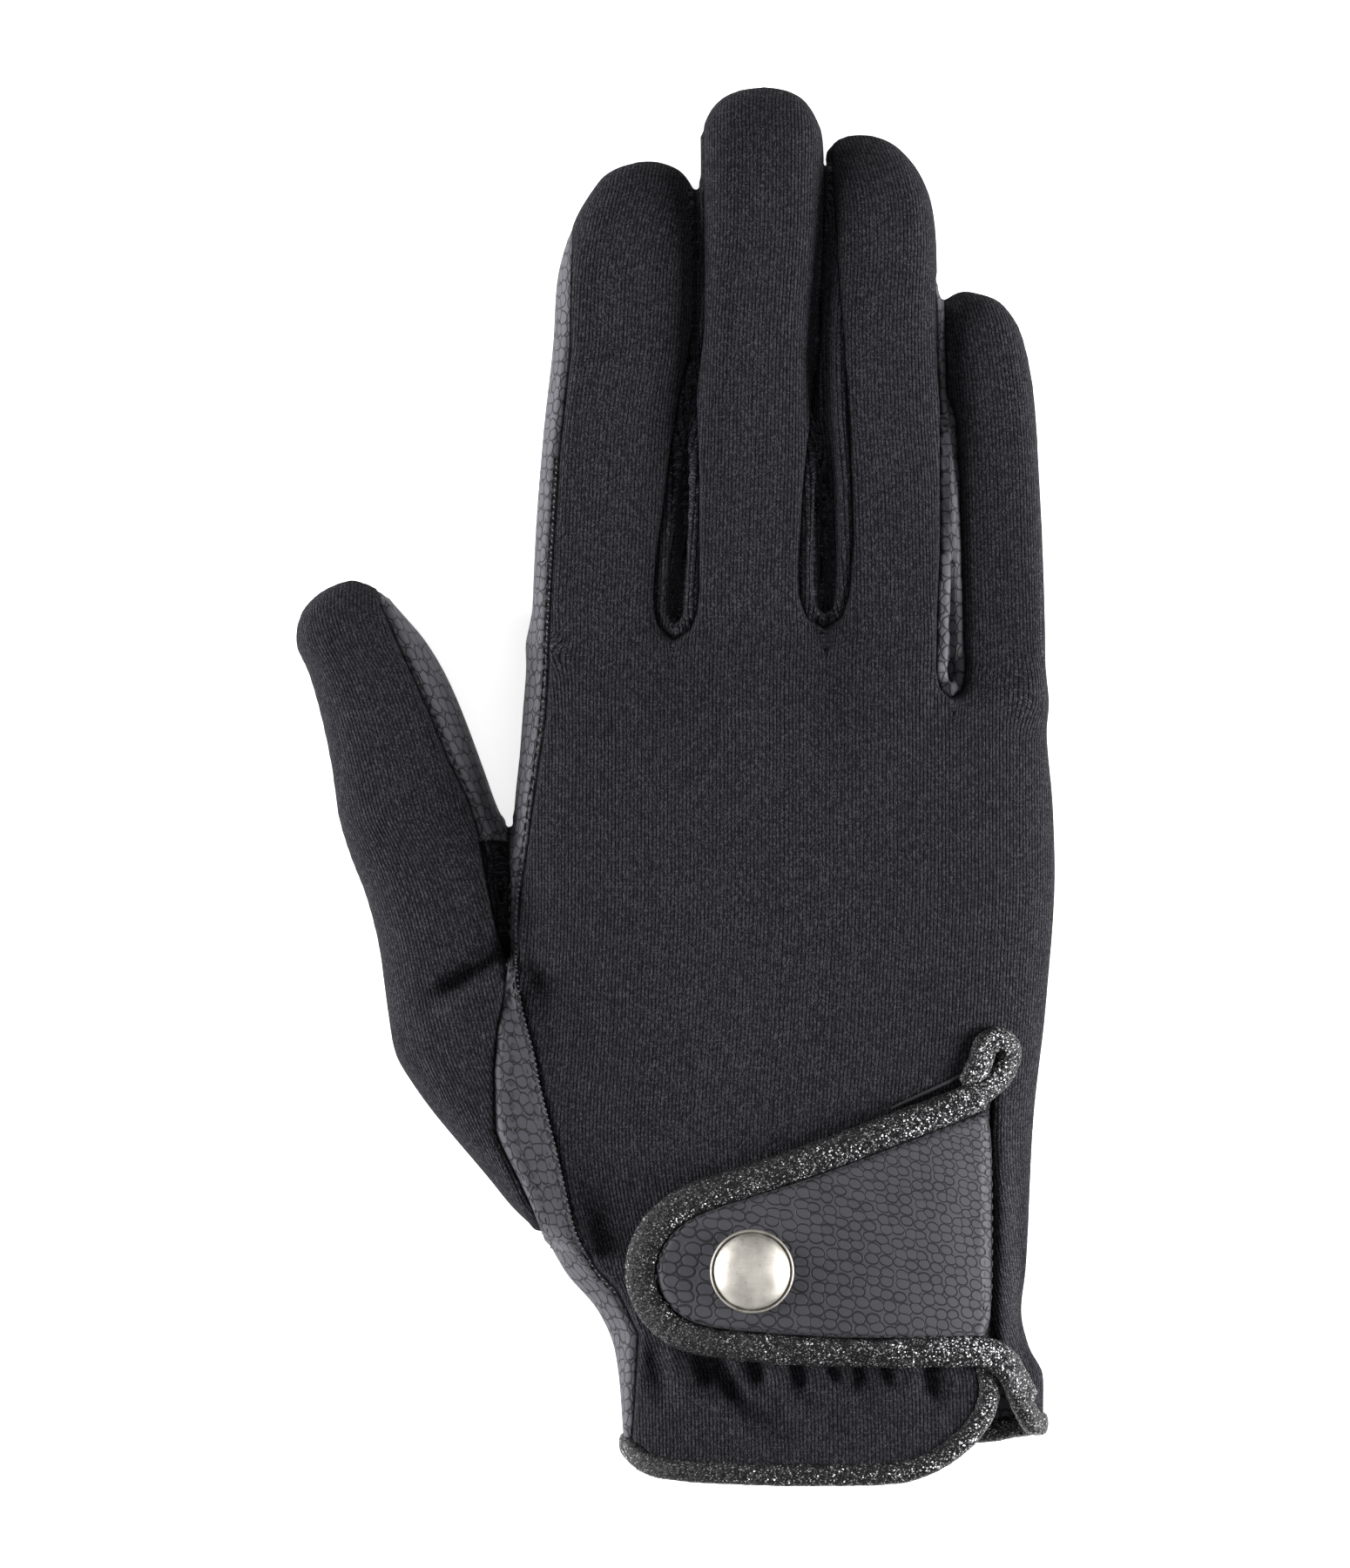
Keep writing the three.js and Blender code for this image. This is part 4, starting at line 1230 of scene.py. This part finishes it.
thumb, hand = cut(body, body_faces, depth_in(THUMB_EDGE, body[:, 0], body[:, 1]))
web, thumb = cut(*thumb, raised_depth(GUSSET_EDGE, thumb[0]))
panel("web_stretch", "thumb_gusset", *web, web[0][:, [2, 1]], web_knit_painted_shade, "knit", dip=0.8)

knit_back, front = cut(*thumb, raised_depth(THUMB_KNIT_EDGE, thumb[0]))
seam = knit_back[0][np.concatenate(edge_loops(knit_back[1]))][:, :3]
panel("thumb_knit", "thumb_back", *knit_back, cloth_lines(knit_back[0], thumb=True), knit, "knit")
panel("thumb_leather", "thumb_front", *front, wrap_lines(front[0], seam), leather, "leather")

knit_back, front = cut(*hand, knit_depth(hand[0]))
seam = knit_back[0][edge_loops(knit_back[1])[0]][:, :3]
panel("back_knit", "back_panel", *knit_back, cloth_lines(knit_back[0]), knit, "knit")
panel("palm_leather", "palm_panel", *front, wrap_lines(front[0], seam), leather, "leather")

# The strap, from a grid over its box; its right end bends down to the slit
step = 0.5
gx, gy = np.meshgrid(np.arange(-27, 36, step), np.arange(18, 62, step), indexing="ij")
flat = np.stack([gx.ravel(), gy.ravel()], 1)
lift = STRAP_LIFT + STRAP_THICK
grid_z = top.smooth_at(*flat.T) + lift
strap_points = np.hstack([flat, grid_z[:, None], top.normal_at(*flat.T)])
rows, columns = gx.shape
i, j = np.meshgrid(np.arange(rows - 1), np.arange(columns - 1), indexing="ij")
a = (i * columns + j).ravel()
b, c, d = a + columns, a + columns + 1, a + 1
strap_faces = np.concatenate([np.stack([a, b, c], 1), np.stack([a, c, d], 1)])
strap_edge = even_path(STRAP_EDGE, 1.0, closed=True)
(strap, strap_faces), _ = cut(strap_points, strap_faces, depth_in(strap_edge, *flat.T))
strap[:, 2] -= 2.6 * smooth_step(strap[:, 0], 31.3, 33.7)
# Its pebbles grow smaller from the rounded end to the slit
share = np.clip(0.6 * (strap[:, 0] + 21) / 54 + 0.4 * (strap[:, 1] - 22) / 36, 0, 1)
largest, smallest = 2.5, 1.65
pebble_size = largest + (smallest - largest) * share
strap_uv = strap[:, :2] * (STRAP_PEBBLE / pebble_size)[:, None] * [0.9, 1.0]
panel(
    "closing_strap", "strap", strap, strap_faces, strap_uv, strap_leather, "leather",
    STRAP_THICK - 0.3, lip=0.1, dip=0.5,
)

# The strap's binding and the loop at the slit's top
line = even_path(STRAP_TAPE_LINE, 0.6)
level = top.smooth_at(*line.T) + STRAP_LIFT + STRAP_THICK / 2 + 0.15
spread = 13  # points over which the tape's level is averaged
level = np.pad(level, spread // 2, mode="edge")
level = np.convolve(level, np.full(spread, 1 / spread), "valid")
lay_tape(
    "strap_tape", line, level, STRAP_TAPE + 0.4, TAPE_RISE, glitter, ["strap_binding"]
)

line = even_path(LOOP_LINE, 0.4)
share = np.linspace(0, 1, len(line))
level = top.smooth_at(*line.T) + 0.9 + 0.8 * (1 - smooth_step(share, 0.0, 0.3))
lay_tape(
    "slit_tape", line, level, HEM_TAPE + 0.4, TAPE_RISE, glitter, ["slit_binding"]
)

# The binding of the hem and of the slit's lower edges, along the cloth's own edge
rim = even_path(rim, 0.7, closed=True, rounds=1)
for _ in range(3):
    rim = (np.roll(rim, 1, axis=0) + rim * 2 + np.roll(rim, -1, axis=0)) / 4
low = (rim[:, 1] < 19.5) | (rim[:, 2] < 12)
start = int(np.argmax(low & ~np.roll(low, 1)))
rim = np.roll(rim, -start, axis=0)
low = np.roll(low, -start)
rim = rim[: int(np.argmin(low))] if not low.all() else rim
path, up = rim[:, :3], rim[:, 3:6] / np.linalg.norm(rim[:, 3:6], axis=1, keepdims=True)
ahead = np.gradient(path, axis=0)
ahead /= np.linalg.norm(ahead, axis=1, keepdims=True)
outward = np.cross(ahead, up)
centre = path - outward * (HEM_TAPE / 2 - 0.4) - up * 0.55
centre[:, 2] = np.maximum(centre[:, 2], 1.5)
tape = flat_tape(centre, up, HEM_TAPE, 2.9)
tape[0][:, 2] = np.maximum(tape[0][:, 2], 0.05)
settle(make_mesh("cuff_tape", *tape), glitter, ["cuff_binding"])

# The snap cap: a rolled rim, a fine groove inside it and a low dome
cap_foot, cap_top = cap_low.z * 1000, cap_high.z * 1000
profile = np.array([
    (CAP_RADIUS - 0.5, cap_foot), (CAP_RADIUS - 0.1, cap_foot + 0.15), (CAP_RADIUS, cap_foot + 0.6),
    (CAP_RADIUS - 0.04, cap_foot + 0.95), (CAP_RADIUS - 0.18, cap_foot + 1.15),
    (CAP_RADIUS - 0.36, cap_foot + 1.16), (CAP_GROOVE, cap_foot + 1.05),
    (CAP_GROOVE - 0.2, cap_foot + 1.22),
])
bow = np.linspace(CAP_GROOVE - 0.35, 0.35, 14)
dome_foot = cap_foot + 1.3
dome_height = (cap_top - dome_foot) * (1 - (bow / CAP_GROOVE) ** 3.2)
profile = np.vstack([profile, np.stack([bow, dome_foot + dome_height], 1)])
turn = -np.linspace(0, 2 * math.pi, CAP_SIDES, endpoint=False)
rings = np.stack([
    CAP_PLACE[0] + profile[:, :1] * np.cos(turn), CAP_PLACE[1] + profile[:, :1] * np.sin(turn),
    np.repeat(profile[:, 1:], CAP_SIDES, axis=1),
], -1)
cap = closed_tube(rings, (*CAP_PLACE, cap_foot), (*CAP_PLACE, cap_top))
settle(make_mesh("nickel_cap", *cap), nickel, ["snap_cap"])

# Stitches. Columns: name, seam, how far beside it, length, gap, thread's width, thread, slant
thread = thread_finish("dark_thread", 0.012)
pale_thread = thread_finish("edge_thread", 0.10)
index_seam = on_skin(KNIT_EDGE[6:24])
thumb_seam = on_skin(THUMB_EDGE[5:13])
thumb_edge = on_skin(THUMB_KNIT_EDGE[4:10])
for name, seam, aside, *sizes in (
    ("index_stitches", index_seam, -0.85, 1.3, 0.6, 0.34, thread),
    ("index_stitches_outer", index_seam, -1.7, 1.3, 0.6, 0.34, thread),
    ("index_edging", index_seam, -0.22, 0.5, 0.42, 0.26, pale_thread, 0.6),
    ("thumb_base_stitches", thumb_seam, 1.1, 1.3, 0.6, 0.34, thread),
    ("thumb_base_stitches_outer", thumb_seam, 2.7, 1.3, 0.6, 0.34, thread),
    ("thumb_edge_stitches", thumb_edge, 0.8, 1.1, 0.5, 0.3, thread),
):
    stitch_row(name, beside(seam, aside), *sizes)
ring = even_path(STRAP_EDGE[:-5] + STRAP_EDGE[-4:], 0.8)
level = top.smooth_at(*ring.T) + lift - 0.05
strap_row = np.hstack([ring, level[:, None], top.normal_at(*ring.T)])
stitch_row("strap_stitches", beside(strap_row, -0.55, snap=False), 1.2, 0.6, 0.3, thread)
line = even_path(BACKING_LINE, 0.5)
level = top.at(*line.T) + 0.25
lay_tape("strap_backing_edge", line, level, 0.5, 0.4, thread, [])

# Floor, light and camera -------------------------------------------------------------------------

WHITE = (1.0, 1.0, 1.0, 1.0)
scene = bpy.context.scene
scene.view_settings.view_transform = "Standard"
bpy.ops.mesh.primitive_plane_add(size=8, location=(0, 0, -0.0002))
floor = bpy.context.object
floor.name = "floor"
paper = Finish("pale_floor")
floor.data.materials.append(
    paper.done(
        Base_Color=(0.93, 0.93, 0.93, 1.0), Roughness=1.0, Specular_IOR_Level=0.0,
        Emission_Color=WHITE, Emission_Strength=0.75,
    )
)

world = bpy.data.worlds.new("studio")
world.use_nodes = True
sky = world.node_tree.nodes["Background"].inputs
sky["Color"].default_value = WHITE
sky["Strength"].default_value = 0.26
scene.world = world


def soft_light(name, place, size, power):
    data = bpy.data.lights.new(name, "AREA")
    data.shape, data.size, data.energy = "DISK", size, power
    lamp = bpy.data.objects.new(name, data)
    lamp.location = place
    lamp.rotation_euler = (-Vector(place)).to_track_quat("-Z", "Y").to_euler()
    scene.collection.objects.link(lamp)


soft_light("overhead", (0.2, -0.1, 1.2), 0.9, 2.5)
soft_light("right_side", (1.0, -0.15, 0.25), 0.5, 31.0)
soft_light("left_side", (-1.0, 0.0, 0.25), 0.5, 28.0)

# The picture is 1800 pixels high at 0.14 mm each, and the glove's outline lies 12 mm up
CAMERA_HEIGHT = 1.5
OUTLINE_HEIGHT = 0.012
PICTURE_LENGTH = 1800 * 0.14 / 1000
camera = bpy.data.cameras.new("camera")
camera.sensor_width = 36.0
camera.lens = camera.sensor_width * (CAMERA_HEIGHT - OUTLINE_HEIGHT) / PICTURE_LENGTH
camera.clip_start, camera.clip_end = 0.05, 20
eye = bpy.data.objects.new("camera", camera)
eye.location = (-0.00003, -0.0001, CAMERA_HEIGHT)
scene.collection.objects.link(eye)
scene.camera = eye
